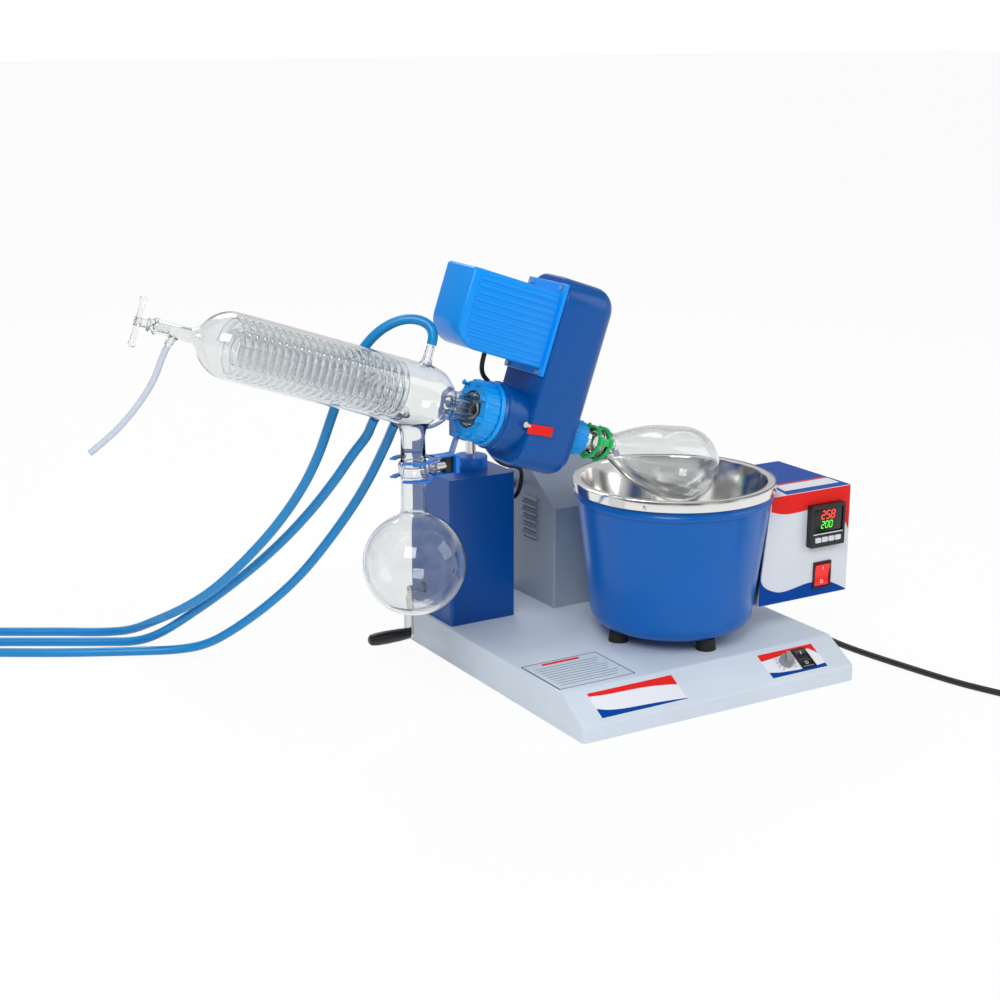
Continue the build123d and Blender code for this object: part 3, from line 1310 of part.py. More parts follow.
def cord_tube(points, radius):
    """A round tube along straight runs joined by arcs as large as the runs allow."""
    corners = [Vector(*point) for point in points]
    runs = [b - a for a, b in zip(corners, corners[1:])]
    radii = []
    for before, after in zip(runs, runs[1:]):
        turn = math.radians(before.get_angle(after))
        shorter = min(before.length, after.length)
        radii.append(CORD_ARC_SHARE * shorter / math.tan(turn / 2))
    with BuildPart() as tube:
        with BuildLine() as path:
            FilletPolyline(*corners, radius=radii)
        with BuildSketch(Plane(corners[0], z_dir=runs[0])):
            Circle(radius)
        sweep(path=path.line)
    section = math.pi * radius * radius * path.wire().length
    print(
        "cord length", round(path.wire().length), "tightest", round(min(radii), 1),
        "volume ratio", round(tube.part.volume / section, 4),
    )
    return tube


def point_beyond(start, direction, distance):
    """The point at a distance from start along a direction, as a tuple."""
    point = start + direction * distance
    return (point.X, point.Y, point.Z)


def nozzle_end(s, direction, beyond):
    """A point on a condenser nozzle's axis, beyond its end face."""
    return point_beyond(on_axis(s), direction, CONDENSER_RADIUS - 1 + NOZZLE_REACH + beyond)


back_direction = Vector(0, math.sqrt(0.5), -math.sqrt(0.5))
vacuum_hose_route = [
    nozzle_end(TOP_NOZZLE_S, rise_direction, 0.2),
    nozzle_end(TOP_NOZZLE_S, rise_direction, 10),
    (-263, -40, 407),
    (-275, -30, 412),
    (-290, -20, 409),
    (-308, -10, 396),
    (-324, -1, 372),
    (-336, 7, 343),
    (-345, 17, 308),
    (-350, 35, 270),
    (-358, 61, 229),
    (-373, 96, 183),
    (-392, 136, 139),
    (-413, 182, 95),
    (-430, 236, 61),
    (-443, 290, 34),
    (-456, 334, 12),
    (-482, 364, 5.2),
    (-516, 387, 5.2),
    (-554, 409, 5.2),
    (-592, 432, 5.2),
    (-628, 452, 5.2),
]
vacuum_hose = cord_tube(vacuum_hose_route, HOSE_RADIUS)
save(vacuum_hose, "vacuum_hose")

water_outlet_route = [
    nozzle_end(BACK_NOZZLES_S[1], back_direction, 0.2),
    nozzle_end(BACK_NOZZLES_S[1], back_direction, 9),
    (-310, 5, 291),
    (-317, 24, 270),
    (-326, 46, 240),
    (-338, 75, 205),
    (-354, 112, 165),
    (-375, 154, 124),
    (-398, 200, 84),
    (-420, 246, 48),
    (-438, 284, 20),
    (-458, 308, 6.5),
    (-487, 329, 5.2),
    (-523, 350, 5.2),
    (-563, 374, 5.2),
    (-602, 397, 5.2),
    (-640, 417, 5.2),
]
water_outlet_hose = cord_tube(water_outlet_route, HOSE_RADIUS)
save(water_outlet_hose, "water_outlet_hose")

water_inlet_route = [
    nozzle_end(BACK_NOZZLES_S[0], back_direction, 0.2),
    nozzle_end(BACK_NOZZLES_S[0], back_direction, 9),
    (-286, 5, 286),
    (-286, 22, 266),
    (-289, 42, 238),
    (-297, 66, 203),
    (-312, 96, 160),
    (-331, 130, 114),
    (-353, 168, 74),
    (-377, 208, 38),
    (-400, 240, 13),
    (-428, 262, 5.2),
    (-464, 279, 5.2),
    (-502, 298, 5.2),
    (-540, 318, 5.2),
    (-580, 342, 5.2),
    (-622, 368, 5.2),
    (-660, 388, 5.2),
]
water_inlet_hose = cord_tube(water_inlet_route, HOSE_RADIUS)
save(water_inlet_hose, "water_inlet_hose")

feed_tube_route = [
    point_beyond(side_root.origin, side_root.z_dir, 10.2),
    point_beyond(side_root.origin, side_root.z_dir, 18),
    (-548, -47, 382),
    (-562, -47, 363),
    (-578, -47, 346),
    (-595, -47, 332),
    (-612, -47, 321),
]
feed_tube = cord_tube(feed_tube_route, FEED_RADIUS)
save(feed_tube, "feed_tube")

# Glands of the motor cable and the mains cord on the power box
cable_exit = on_axis(4, COVER_LOW, 14)
power_gland = Vector(POWER_LEFT, power_back - 12, CABLE_GLAND_HEIGHT)
mains_gland_point = Vector(power_right, POWER_FRONT + MAINS_GLAND_SETBACK, MAINS_GLAND_HEIGHT)
with BuildPart() as power_glands:
    with BuildSketch(Plane(power_gland, x_dir=(0, 1, 0), z_dir=(-1, 0, 0))):
        Circle(CABLE_GLAND_RADIUS)
    extrude(amount=8)
    with BuildSketch(Plane(mains_gland_point, x_dir=(0, 1, 0), z_dir=(1, 0, 0))):
        Circle(CABLE_GLAND_RADIUS + 1.5)
    extrude(amount=10, taper=6)
save(power_glands, "power_glands")

motor_cable_route = [
    point_beyond(cable_exit, -rise_direction, 0.2),
    point_beyond(cable_exit, -rise_direction, 12),
    (-203, -18, 334),
    (-196, -5, 316),
    (-186, 9, 294),
    (-172, 23, 268),
    (-152, 36, 242),
    (-128, 48, 216),
    (-106, 61, 194),
    (-90, 76, 178),
    (-80, 96, 168),
    (-74, 118, 163),
    (-71, 138, 163.5),
    (-67, 155, 165),
    point_beyond(power_gland, Vector(-1, 0, 0), 22),
    point_beyond(power_gland, Vector(-1, 0, 0), 8.2),
]
motor_cable = cord_tube(motor_cable_route, MOTOR_CABLE_RADIUS)
save(motor_cable, "motor_cable")

mains_cord_route = [
    point_beyond(mains_gland_point, Vector(1, 0, 0), 10.2),
    point_beyond(mains_gland_point, Vector(1, 0, 0), 22),
    (122, 140, 55),
    (146, 137, 53.5),
    (170, 131, 50),
    (190, 121, 39),
    (205, 107, 23),
    (216, 88, 9),
    (224, 64, 3.7),
    (230, 36, 3.7),
    (234, 4, 3.7),
    (235, -32, 3.7),
    (233, -72, 3.7),
    (233, -112, 3.7),
    (238, -152, 3.7),
    (245, -192, 3.7),
    (252, -230, 3.7),
    (260, -266, 3.7),
    (271, -298, 3.7),
    (291.6, -331.2, 3.7),
]
mains_cord = cord_tube(mains_cord_route, MAINS_RADIUS)
save(mains_cord, "mains_cord")

# The stored turns of the mains cord, as one ring
with BuildPart() as mains_coil:
    with BuildSketch(Plane.XY):
        with Locations((COIL_CENTRE_X, COIL_CENTRE_Y)):
            Circle(COIL_MIDDLE + 1.5 * MAINS_RADIUS + 2)
            Circle(COIL_MIDDLE - 1.5 * MAINS_RADIUS - 2, mode=Mode.SUBTRACT)
    extrude(amount=4 * MAINS_RADIUS + 1)
save(mains_coil, "mains_coil")

# Three-pin plug lying beside the coil
coil_outside = COIL_MIDDLE + 1.5 * MAINS_RADIUS + 2
plug_x = COIL_CENTRE_X + coil_outside + 19
with BuildPart() as mains_plug:
    with BuildSketch(Plane.XY):
        with Locations((plug_x, COIL_CENTRE_Y)):
            RectangleRounded(38, 44, 8)
    extrude(amount=22)
    fillet(mains_plug.edges().group_by(Axis.Z)[-1], radius=5)
    with BuildSketch(Plane.XZ.offset(-COIL_CENTRE_Y + 22)):
        with Locations((plug_x - 9, 11), (plug_x + 9, 11)):
            Circle(2.4)
        with Locations((plug_x, 11 + 6)):
            Circle(2.8)
    extrude(amount=17)
save(mains_plug, "mains_plug")
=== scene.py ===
import json
from math import asin, atan, atan2, cos, pi, radians, sin, sqrt, tau

import bmesh
import bpy
from mathutils import Matrix, Vector
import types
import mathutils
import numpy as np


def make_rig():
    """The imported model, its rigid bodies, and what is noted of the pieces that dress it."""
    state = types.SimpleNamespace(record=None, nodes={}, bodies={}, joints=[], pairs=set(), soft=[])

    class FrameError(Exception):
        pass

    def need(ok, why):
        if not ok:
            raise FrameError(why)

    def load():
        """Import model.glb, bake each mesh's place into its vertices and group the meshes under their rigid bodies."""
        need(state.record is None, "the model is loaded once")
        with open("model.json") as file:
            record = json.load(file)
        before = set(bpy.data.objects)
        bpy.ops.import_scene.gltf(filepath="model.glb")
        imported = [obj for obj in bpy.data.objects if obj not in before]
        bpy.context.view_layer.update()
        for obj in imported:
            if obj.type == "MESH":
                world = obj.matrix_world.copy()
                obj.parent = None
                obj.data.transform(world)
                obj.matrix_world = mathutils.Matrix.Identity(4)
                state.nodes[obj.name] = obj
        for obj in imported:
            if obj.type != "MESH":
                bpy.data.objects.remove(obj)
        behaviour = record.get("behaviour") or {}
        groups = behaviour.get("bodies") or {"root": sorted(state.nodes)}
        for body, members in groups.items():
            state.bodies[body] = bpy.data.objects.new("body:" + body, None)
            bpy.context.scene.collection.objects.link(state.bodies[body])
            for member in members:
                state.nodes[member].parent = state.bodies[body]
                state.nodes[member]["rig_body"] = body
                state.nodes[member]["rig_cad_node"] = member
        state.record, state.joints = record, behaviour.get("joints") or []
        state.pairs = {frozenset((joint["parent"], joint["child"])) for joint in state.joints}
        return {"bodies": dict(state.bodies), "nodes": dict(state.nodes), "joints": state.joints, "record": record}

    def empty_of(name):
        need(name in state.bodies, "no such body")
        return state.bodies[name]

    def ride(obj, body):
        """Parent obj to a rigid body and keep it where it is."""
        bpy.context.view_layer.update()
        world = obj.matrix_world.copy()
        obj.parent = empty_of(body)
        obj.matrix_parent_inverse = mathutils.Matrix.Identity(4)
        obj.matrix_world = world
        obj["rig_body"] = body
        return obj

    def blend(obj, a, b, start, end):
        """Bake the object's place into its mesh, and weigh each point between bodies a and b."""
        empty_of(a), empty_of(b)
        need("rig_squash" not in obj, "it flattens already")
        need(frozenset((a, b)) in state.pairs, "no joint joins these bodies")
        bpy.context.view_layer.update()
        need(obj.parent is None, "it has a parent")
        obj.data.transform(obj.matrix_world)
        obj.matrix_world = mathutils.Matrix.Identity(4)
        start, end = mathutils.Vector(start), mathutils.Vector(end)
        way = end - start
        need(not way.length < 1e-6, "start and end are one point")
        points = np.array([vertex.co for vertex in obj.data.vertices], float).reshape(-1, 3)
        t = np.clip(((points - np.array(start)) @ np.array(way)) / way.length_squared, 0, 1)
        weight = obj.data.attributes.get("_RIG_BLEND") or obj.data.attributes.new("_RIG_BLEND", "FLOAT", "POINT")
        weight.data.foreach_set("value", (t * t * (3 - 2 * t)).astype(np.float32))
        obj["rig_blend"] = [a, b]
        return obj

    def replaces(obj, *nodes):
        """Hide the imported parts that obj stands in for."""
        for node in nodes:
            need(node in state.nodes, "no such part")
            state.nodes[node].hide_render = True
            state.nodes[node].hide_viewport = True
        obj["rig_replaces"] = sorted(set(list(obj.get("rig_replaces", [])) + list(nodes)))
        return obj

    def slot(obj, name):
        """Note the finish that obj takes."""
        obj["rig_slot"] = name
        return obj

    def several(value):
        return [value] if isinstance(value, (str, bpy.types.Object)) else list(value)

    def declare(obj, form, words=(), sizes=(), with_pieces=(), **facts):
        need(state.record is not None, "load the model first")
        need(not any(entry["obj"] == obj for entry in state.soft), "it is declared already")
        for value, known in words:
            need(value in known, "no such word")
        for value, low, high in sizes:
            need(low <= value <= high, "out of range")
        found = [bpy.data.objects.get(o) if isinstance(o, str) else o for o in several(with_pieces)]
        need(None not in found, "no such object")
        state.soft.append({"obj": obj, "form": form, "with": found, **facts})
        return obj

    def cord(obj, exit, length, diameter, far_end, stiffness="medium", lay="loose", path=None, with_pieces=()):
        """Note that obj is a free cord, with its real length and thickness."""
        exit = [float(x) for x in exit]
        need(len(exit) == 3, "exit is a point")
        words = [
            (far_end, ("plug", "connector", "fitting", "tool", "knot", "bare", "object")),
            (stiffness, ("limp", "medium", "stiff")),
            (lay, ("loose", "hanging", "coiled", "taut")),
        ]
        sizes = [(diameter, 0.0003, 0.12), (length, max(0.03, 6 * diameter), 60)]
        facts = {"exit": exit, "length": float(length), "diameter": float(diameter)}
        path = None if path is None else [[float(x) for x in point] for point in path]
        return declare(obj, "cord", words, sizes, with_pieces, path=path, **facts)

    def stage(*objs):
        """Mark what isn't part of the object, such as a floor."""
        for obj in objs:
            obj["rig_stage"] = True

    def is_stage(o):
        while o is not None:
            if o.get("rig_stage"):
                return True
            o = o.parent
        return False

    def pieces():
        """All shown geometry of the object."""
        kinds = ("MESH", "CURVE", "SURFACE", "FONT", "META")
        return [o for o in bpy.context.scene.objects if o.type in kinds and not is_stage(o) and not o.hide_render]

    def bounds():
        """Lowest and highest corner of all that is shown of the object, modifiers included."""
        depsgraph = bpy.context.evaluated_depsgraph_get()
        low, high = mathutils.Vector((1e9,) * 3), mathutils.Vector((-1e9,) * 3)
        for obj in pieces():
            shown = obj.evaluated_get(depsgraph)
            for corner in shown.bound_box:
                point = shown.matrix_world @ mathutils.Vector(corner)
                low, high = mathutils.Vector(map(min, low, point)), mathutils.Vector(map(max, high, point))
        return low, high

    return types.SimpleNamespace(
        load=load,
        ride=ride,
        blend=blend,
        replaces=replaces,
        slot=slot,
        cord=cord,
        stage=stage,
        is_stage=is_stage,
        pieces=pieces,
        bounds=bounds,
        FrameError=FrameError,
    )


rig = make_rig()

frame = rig.load()
nodes = frame["nodes"]
cad_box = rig.bounds()

# Places, as in the part: millimetres on the rotary axis, metres in the frame
MM = 0.001
TILT = radians(19)
ALONG = Vector((cos(TILT), 0, -sin(TILT)))
RISE = Vector((sin(TILT), 0, cos(TILT)))
BACK = Vector((0, 1, 0))
AXIS_START = Vector((-0.2184, -0.047, 0.3172))
SLOPE_ANGLE = atan2(24, 42)
SLOPE_MIDDLE = Vector((0, -0.171, 0.028))
BATH_CENTRE = Vector((0.032, -0.050, 0))
RECEIVER_CENTRE = Vector((-0.286, -0.047, 0))
CRANK_Y = 0.14585


def place(start, x_axis, y_axis, z_axis, scale=MM):
    """A matrix that puts millimetre coordinates on three directions at a start point."""
    turn = Matrix((x_axis, y_axis, z_axis)).transposed().to_4x4()
    return Matrix.Translation(start) @ turn @ Matrix.Scale(scale, 4)


X_AXIS = Vector((1, 0, 0))
Z_AXIS = Vector((0, 0, 1))
ON_AXIS = place(AXIS_START, ALONG, BACK, RISE)
ON_TABLE = place(Vector(), X_AXIS, BACK, Z_AXIS)
UP_SLOPE = Vector((0, cos(SLOPE_ANGLE), sin(SLOPE_ANGLE)))
OFF_SLOPE = Vector((0, -sin(SLOPE_ANGLE), cos(SLOPE_ANGLE)))
ON_SLOPE = place(SLOPE_MIDDLE, X_AXIS, UP_SLOPE, OFF_SLOPE)
ON_BOX_FACE = place(Vector((0, -0.112, 0)), X_AXIS, Z_AXIS, -BACK)


def upright(centre):
    """Spun profiles run up from this centre."""
    return place(centre, Z_AXIS, X_AXIS, BACK)


def axis_point(s, back=0.0, rise=0.0):
    """A point on the rotary axis, in metres, from millimetres."""
    return AXIS_START + (ALONG * s + BACK * back + RISE * rise) * MM


def rgb(red, green, blue):
    """Screen values from 0 to 255 as a linear colour."""
    def linear(value):
        value /= 255
        return value / 12.92 if value <= 0.04045 else ((value + 0.055) / 1.055) ** 2.4
    return (linear(red), linear(green), linear(blue), 1.0)


class Link:
    """A shader output that takes part in sums."""

    def __init__(self, shading, socket):
        self.shading = shading
        self.socket = socket

    def sum(self, operation, first, second):
        return self.shading.node("ShaderNodeMath", {"operation": operation}, {0: first, 1: second})

    def __add__(self, other):
        return self.sum("ADD", self, other)

    __radd__ = __add__

    def __sub__(self, other):
        return self.sum("SUBTRACT", self, other)

    def __rsub__(self, other):
        return self.sum("SUBTRACT", other, self)

    def __mul__(self, other):
        return self.sum("MULTIPLY", self, other)

    __rmul__ = __mul__


class Shading:
    """The nodes of a material or of the surroundings."""

    def __init__(self, tree):
        self.tree = tree

    def feed(self, socket, value):
        if isinstance(value, Link):
            self.tree.links.new(value.socket, socket)
        else:
            socket.default_value = value

    def node(self, kind, settings, sockets, output=0):
        node = self.tree.nodes.new(kind)
        for name, value in settings.items():
            if name == "stops":
                self.grade(node.color_ramp.elements, value)
            else:
                setattr(node, name, value)
        for name, value in sockets.items():
            self.feed(node.inputs[name], value)
        return Link(self, node.outputs[output])

    def grade(self, elements, stops):
        """Greys of a ramp, each at its place."""
        while len(elements) < len(stops):
            elements.new(0.5)
        for element, (position, grey) in zip(elements, stops):
            element.position = position
            element.color = (grey, grey, grey * 1.02, 1)

    def show(self, output, surface):
        self.tree.links.new(surface.socket, self.tree.nodes[output].inputs["Surface"])


class Finish(Shading):
    """A material for one of the machine's finishes, built round one main shader."""

    def __init__(self, name, colour, roughness, **sockets):
        self.material = bpy.data.materials.new(name)
        self.material.use_nodes = True
        super().__init__(self.material.node_tree)
        self.shader = self.tree.nodes["Principled BSDF"]
        self.set(base_color=colour, roughness=roughness, **sockets)

    def set(self, **sockets):
        """Sets or feeds the main shader's sockets, named in lower case with underscores."""
        for name, value in sockets.items():
            socket = name.replace("_", " ").title().replace("Ior", "IOR")
            self.feed(self.shader.inputs[socket], value)
        return self

    def where(self, stretch):
        """A place on the piece, stretched along its axes."""
        point = self.node("ShaderNodeTexCoord", {}, {}, "Object")
        return self.node("ShaderNodeMapping", {}, {"Vector": point, "Scale": stretch})

    def noise(self, scale, detail, stretch=(1, 1, 1)):
        return self.node("ShaderNodeTexNoise", {}, {
            "Vector": self.where(stretch), "Scale": scale, "Detail": detail})

    def mix(self, factor, first, second):
        return self.node("ShaderNodeMix", {"data_type": "RGBA"}, {0: factor, 6: first, 7: second}, 2)

    def bump(self, height, strength, distance):
        bumped = self.node("ShaderNodeBump", {}, {
            "Strength": strength, "Distance": distance, "Height": height})
        return self.set(normal=bumped)


def paint(name, colour, roughness, coat):
    """Stoved enamel on sheet or casting: a faint skin in the bump and in the gloss."""
    finish = Finish(name, colour, roughness,
                    coat_weight=coat, coat_roughness=0.1, specular_ior_level=0.25)
    cloud = finish.noise(14, 4)
    darker = tuple(channel * 0.86 for channel in colour[:3]) + (1.0,)
    finish.set(base_color=finish.mix(cloud, darker, colour),
               roughness=cloud * 0.1 + (roughness - 0.05))
    return finish.bump(finish.noise(900, 2), 0.12, 0.00015).material


def metal(name, colour, roughness, stretch=(1, 1, 1), scale=300, streak=0.12):
    """Bare metal with fine streaks along its working direction."""
    finish = Finish(name, colour, roughness, metallic=1.0)
    lines = finish.noise(scale, 4, stretch)
    finish.set(roughness=lines * streak + (roughness - streak / 2))
    return finish.bump(lines, 0.08, 0.0001).material


def plastic(name, colour, roughness, grain=1500, strength=0.15, **sockets):
    """Moulded plastic, rubber or film, with a fine grain in its skin."""
    finish = Finish(name, colour, roughness, **sockets)
    texture = finish.noise(grain, 2)
    finish.set(roughness=texture * 0.12 + (roughness - 0.06))
    return finish.bump(texture, strength, 0.0001).material


def clear_glass(name, colour, ior, wave=0.0):
    """Blown glass: slow waves in the wall bend what shows through it."""
    finish = Finish(name, colour, 0.0, transmission_weight=1.0, ior=ior)
    smears = finish.noise(40, 2)
    finish.set(roughness=smears * 0.03)
    if wave:
        finish.bump(finish.noise(22, 1), wave, 0.0012)
    return finish.material


base_paint = paint("base enamel", rgb(220, 231, 240), 0.34, 0.1)
box_paint = paint("power box enamel", rgb(162, 175, 188), 0.36, 0.1)
deep_blue = paint("deep blue enamel", rgb(0, 84, 162), 0.28, 0.12)
column_blue = paint("column blue enamel", rgb(0, 82, 164), 0.3, 0.15)
bath_blue = paint("bath blue enamel", rgb(0, 100, 188), 0.3, 0.12)
cover_blue = paint("cover blue enamel", rgb(0, 152, 248), 0.32, 0.15)
nut_blue = plastic("nut blue nylon", rgb(0, 156, 236), 0.36, specular_ior_level=0.4)
bright_blue = plastic("clamp blue enamel", rgb(0, 116, 214), 0.33)
panel_white = paint("panel white", rgb(232, 236, 242), 0.35, 0.1)
mirror_steel = metal("polished stainless", (0.8, 0.79, 0.77, 1), 0.13, (1, 1, 40), 40, 0.05)
rod_steel = metal("ground steel", (0.72, 0.72, 0.71, 1), 0.2, (1, 1, 30), 60)
plate_steel = metal("plated steel", (0.66, 0.65, 0.63, 1), 0.26)
dull_steel = metal("dull core steel", (0.3, 0.3, 0.32, 1), 0.5)
alloy = metal("machined alloy", (0.62, 0.62, 0.64, 1), 0.38)
brass = metal("turned brass", (0.75, 0.52, 0.2, 1), 0.28)
black_rubber = plastic("black rubber", rgb(22, 22, 24), 0.7, 700, 0.3)
cable_sheath = plastic("cable sheath", rgb(24, 25, 30), 0.45, 900)
black_plastic = plastic("black moulding", rgb(20, 20, 22), 0.38)
gloss_black = plastic("gloss black", rgb(12, 12, 14), 0.18)
grip_black = plastic("grip black", rgb(16, 16, 18), 0.3)
knob_grey = plastic("knob grey", rgb(150, 152, 156), 0.35)
key_grey = plastic("key grey", rgb(222, 225, 232), 0.5)
key_print = plastic("panel print", rgb(232, 233, 235), 0.5)
joint_green = plastic("joint clip green", rgb(12, 190, 92), 0.32, coat_weight=0.3)
seal_white = plastic("seal white", rgb(235, 235, 230), 0.4)
label_white = plastic("label film", rgb(238, 240, 244), 0.28, 2500, 0.03, specular_ior_level=0.2)
ruled_grey = plastic("ruled lines", rgb(120, 138, 138), 0.5, 2500, 0.03)
label_red = plastic("label red", rgb(236, 40, 34), 0.34, 2500, 0.03, specular_ior_level=0.1)
label_blue = plastic("label blue", rgb(0, 70, 158), 0.34, 2500, 0.03, specular_ior_level=0.08)
label_ink = plastic("label ink", rgb(40, 44, 58), 0.35, 2500, 0.03)
rocker_red = plastic("rocker red", rgb(226, 22, 20), 0.2,
                     emission_color=rgb(255, 30, 20), emission_strength=0.25)
digit_red = plastic("digit red", rgb(255, 60, 40), 0.4,
                    emission_color=rgb(255, 50, 30), emission_strength=1.6)
digit_green = plastic("digit green", rgb(90, 230, 60), 0.4,
                      emission_color=rgb(70, 220, 50), emission_strength=1.3)
wall_glass = clear_glass("drawn glass", (0.9, 0.913, 0.913, 1.0), 1.45)
flask_glass = clear_glass("flask glass", (0.893, 0.907, 0.907, 1.0), 1.47, 0.05)
coil_glass = clear_glass("coil glass", (0.93, 0.95, 0.955, 1.0), 1.38)
feed_plastic = Finish("clear tube", rgb(196, 205, 217), 0.6, specular_ior_level=0.2).material
hose_blue = plastic("hose blue", rgb(0, 138, 204), 0.3, 700, 0.08, specular_ior_level=0.45)


def stand(name, data):
    """Stands an object made of this data in the scene."""
    shape = bpy.data.objects.new(name, data)
    bpy.context.collection.objects.link(shape)
    return shape


def piece(name, form, where, material, body, stands_for=(), slot=None, sharp=32):
    """Finishes a form: puts it in the frame, turns its faces out and lets it ride on its body."""
    form.transform(where)
    bmesh.ops.remove_doubles(form, verts=form.verts, dist=1e-7)
    bmesh.ops.recalc_face_normals(form, faces=form.faces)
    mesh = bpy.data.meshes.new(name)
    form.to_mesh(mesh)
    form.free()
    mesh.polygons.foreach_set("use_smooth", [True] * len(mesh.polygons))
    mesh.set_sharp_from_angle(angle=radians(sharp))
    mesh.materials.append(material)
    shape = stand(name, mesh)
    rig.ride(shape, body)
    if stands_for:
        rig.replaces(shape, *stands_for)
    if slot:
        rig.slot(shape, slot)


def spin(form, profile, closed=False, steps=96):
    """Spins a profile of (height, radius) round the local X axis."""
    points = [form.verts.new((height, 0, radius)) for height, radius in profile]
    edges = [form.edges.new(pair) for pair in zip(points, points[1:])]
    if closed:
        edges.append(form.edges.new((points[-1], points[0])))
    bmesh.ops.spin(form, geom=points + edges, cent=(0, 0, 0), axis=(1, 0, 0),
                   angle=tau, steps=steps, use_merge=True)
    bmesh.ops.remove_doubles(form, verts=form.verts, dist=0.0005)
    return form


def spun(profile, closed=False, steps=96):
    return spin(bmesh.new(), profile, closed, steps)


def round_edges(form, edges, offset, segments, clamp=False):
    """Rounds edges of a form and gives the corners of the rounding."""
    return bmesh.ops.bevel(form, geom=edges, offset=offset, offset_type="OFFSET", affect="EDGES",
                           segments=segments, profile=0.5, material=-1, clamp_overlap=clamp)["verts"]


def extruded(form, outline, run):
    """Draws a flat outline out along a run and gives its far corners."""
    grown = bmesh.ops.extrude_face_region(form, geom=[form.faces.new(outline)])["geom"]
    corners = [part for part in grown if isinstance(part, bmesh.types.BMVert)]
    bmesh.ops.translate(form, vec=run, verts=corners)
    return corners


def join(form, other):
    """Adds a finished form to another."""
    mesh = bpy.data.meshes.new("joined")
    other.to_mesh(mesh)
    other.free()
    form.from_mesh(mesh)
    bpy.data.meshes.remove(mesh)


def tilted(axis, degrees):
    return Matrix.Rotation(radians(degrees), 4, axis)


def arc(centre, radius, start, end, step):
    """Points on an arc, from and to an angle in degrees."""
    return [(centre[0] + radius * cos(radians(a)), centre[1] + radius * sin(radians(a)))
            for a in range(start, end, step)]


def block(form, centre, size, round_off=0.0, segments=2, turn=None):
    """Adds a rounded block to a form."""
    made = bmesh.ops.create_cube(form, size=1.0)["verts"]
    bmesh.ops.scale(form, vec=size, verts=made)
    if round_off:
        edges = list({edge for corner in made for edge in corner.link_edges})
        made = round_edges(form, edges, round_off, segments)
    if turn is not None:
        bmesh.ops.transform(form, matrix=turn, verts=made)
    bmesh.ops.translate(form, vec=centre, verts=made)
    return made


def round_bar(form, start, end, radius, segments=24, end_radius=None):
    """Adds a closed round bar between two points to a form."""
    start, end = Vector(start), Vector(end)
    run = end - start
    turn = run.to_track_quat("Z", "Y").to_matrix().to_4x4()
    return bmesh.ops.create_cone(
        form, cap_ends=True, segments=segments, radius1=radius,
        radius2=radius if end_radius is None else end_radius, depth=run.length,
        matrix=Matrix.Translation((start + end) / 2) @ turn)["verts"]


def dress(material, *names):
    """Gives CAD nodes that stay visible their finish."""
    for name in names:
        mesh = nodes[name].data
        mesh.materials.clear()
        mesh.materials.append(material)


dress(box_paint, "power_box")
dress(column_blue, "column_housing")
dress(deep_blue, "head_bracket")
dress(dull_steel, "power_supply", "motor")
dress(alloy, "gear_carrier", "base_pan")
dress(rod_steel, "lift_rod", "crank_shaft", "drive_spindle", "motor_rotor", "spindle_bearings")
dress(plate_steel, "crank_arm", "clamp_screw", "bath_heater", "cover_screws")
dress(brass, "temperature_probe")
dress(black_rubber, "drive_belt", "bath_feet")
dress(black_plastic, "power_glands", "speed_potentiometer", "base_switch_bezel", "heater_switch_bezel",
      "temperature_controller", "mains_plug")
dress(gloss_black, "base_switch_rocker")
dress(rocker_red, "heater_switch_rocker")
dress(knob_grey, "speed_knob")
dress(key_grey, "controller_key_1", "controller_key_2", "controller_key_3", "controller_key_4")
dress(seal_white, "shaft_seal")
dress(bright_blue, "clamp_bar", "lift_collar")
dress(panel_white, "control_box")


def curve_of(name, points, radius=0.0):
    """A smooth open curve through control points, in metres."""
    curve = bpy.data.curves.new(name, "CURVE")
    curve.dimensions = "3D"
    curve.resolution_u = 6
    curve.bevel_depth = radius
    curve.bevel_resolution = 5
    curve.use_fill_caps = True
    spline = curve.splines.new("NURBS")
    spline.points.add(len(points) - 1)
    for control, point in zip(spline.points, points):
        control.co = (*point, 1)
    spline.order_u = 3
    spline.use_endpoint_u = True
    shape = stand(name, curve)
    return shape


def line_of(points):
    """The smooth line through control points, as points, and its length."""
    shape = curve_of("line", points)
    mesh = bpy.data.meshes.new_from_object(shape)
    line = [vertex.co.copy() for vertex in mesh.vertices]
    bpy.data.objects.remove(shape)
    bpy.data.meshes.remove(mesh)
    return line, sum((b - a).length for a, b in zip(line, line[1:]))


def tube(name, points, radius, material):
    """A round tube along a smooth route, as a mesh, with its line and length."""
    shape = curve_of(name, points, radius)
    mesh = bpy.data.meshes.new_from_object(shape)
    bpy.data.objects.remove(shape)
    mesh.polygons.foreach_set("use_smooth", [True] * len(mesh.polygons))
    mesh.materials.clear()
    mesh.materials.append(material)
    shape = stand(name, mesh)
    line, length = line_of(points)
    return shape, line, length


def metres(points):
    return [tuple(value * MM for value in point) for point in points]


def beyond(start, direction, *distances):
    """Points beyond a start, in millimetres on a unit direction, in metres."""
    return [tuple(start + direction * (distance * MM)) for distance in distances]


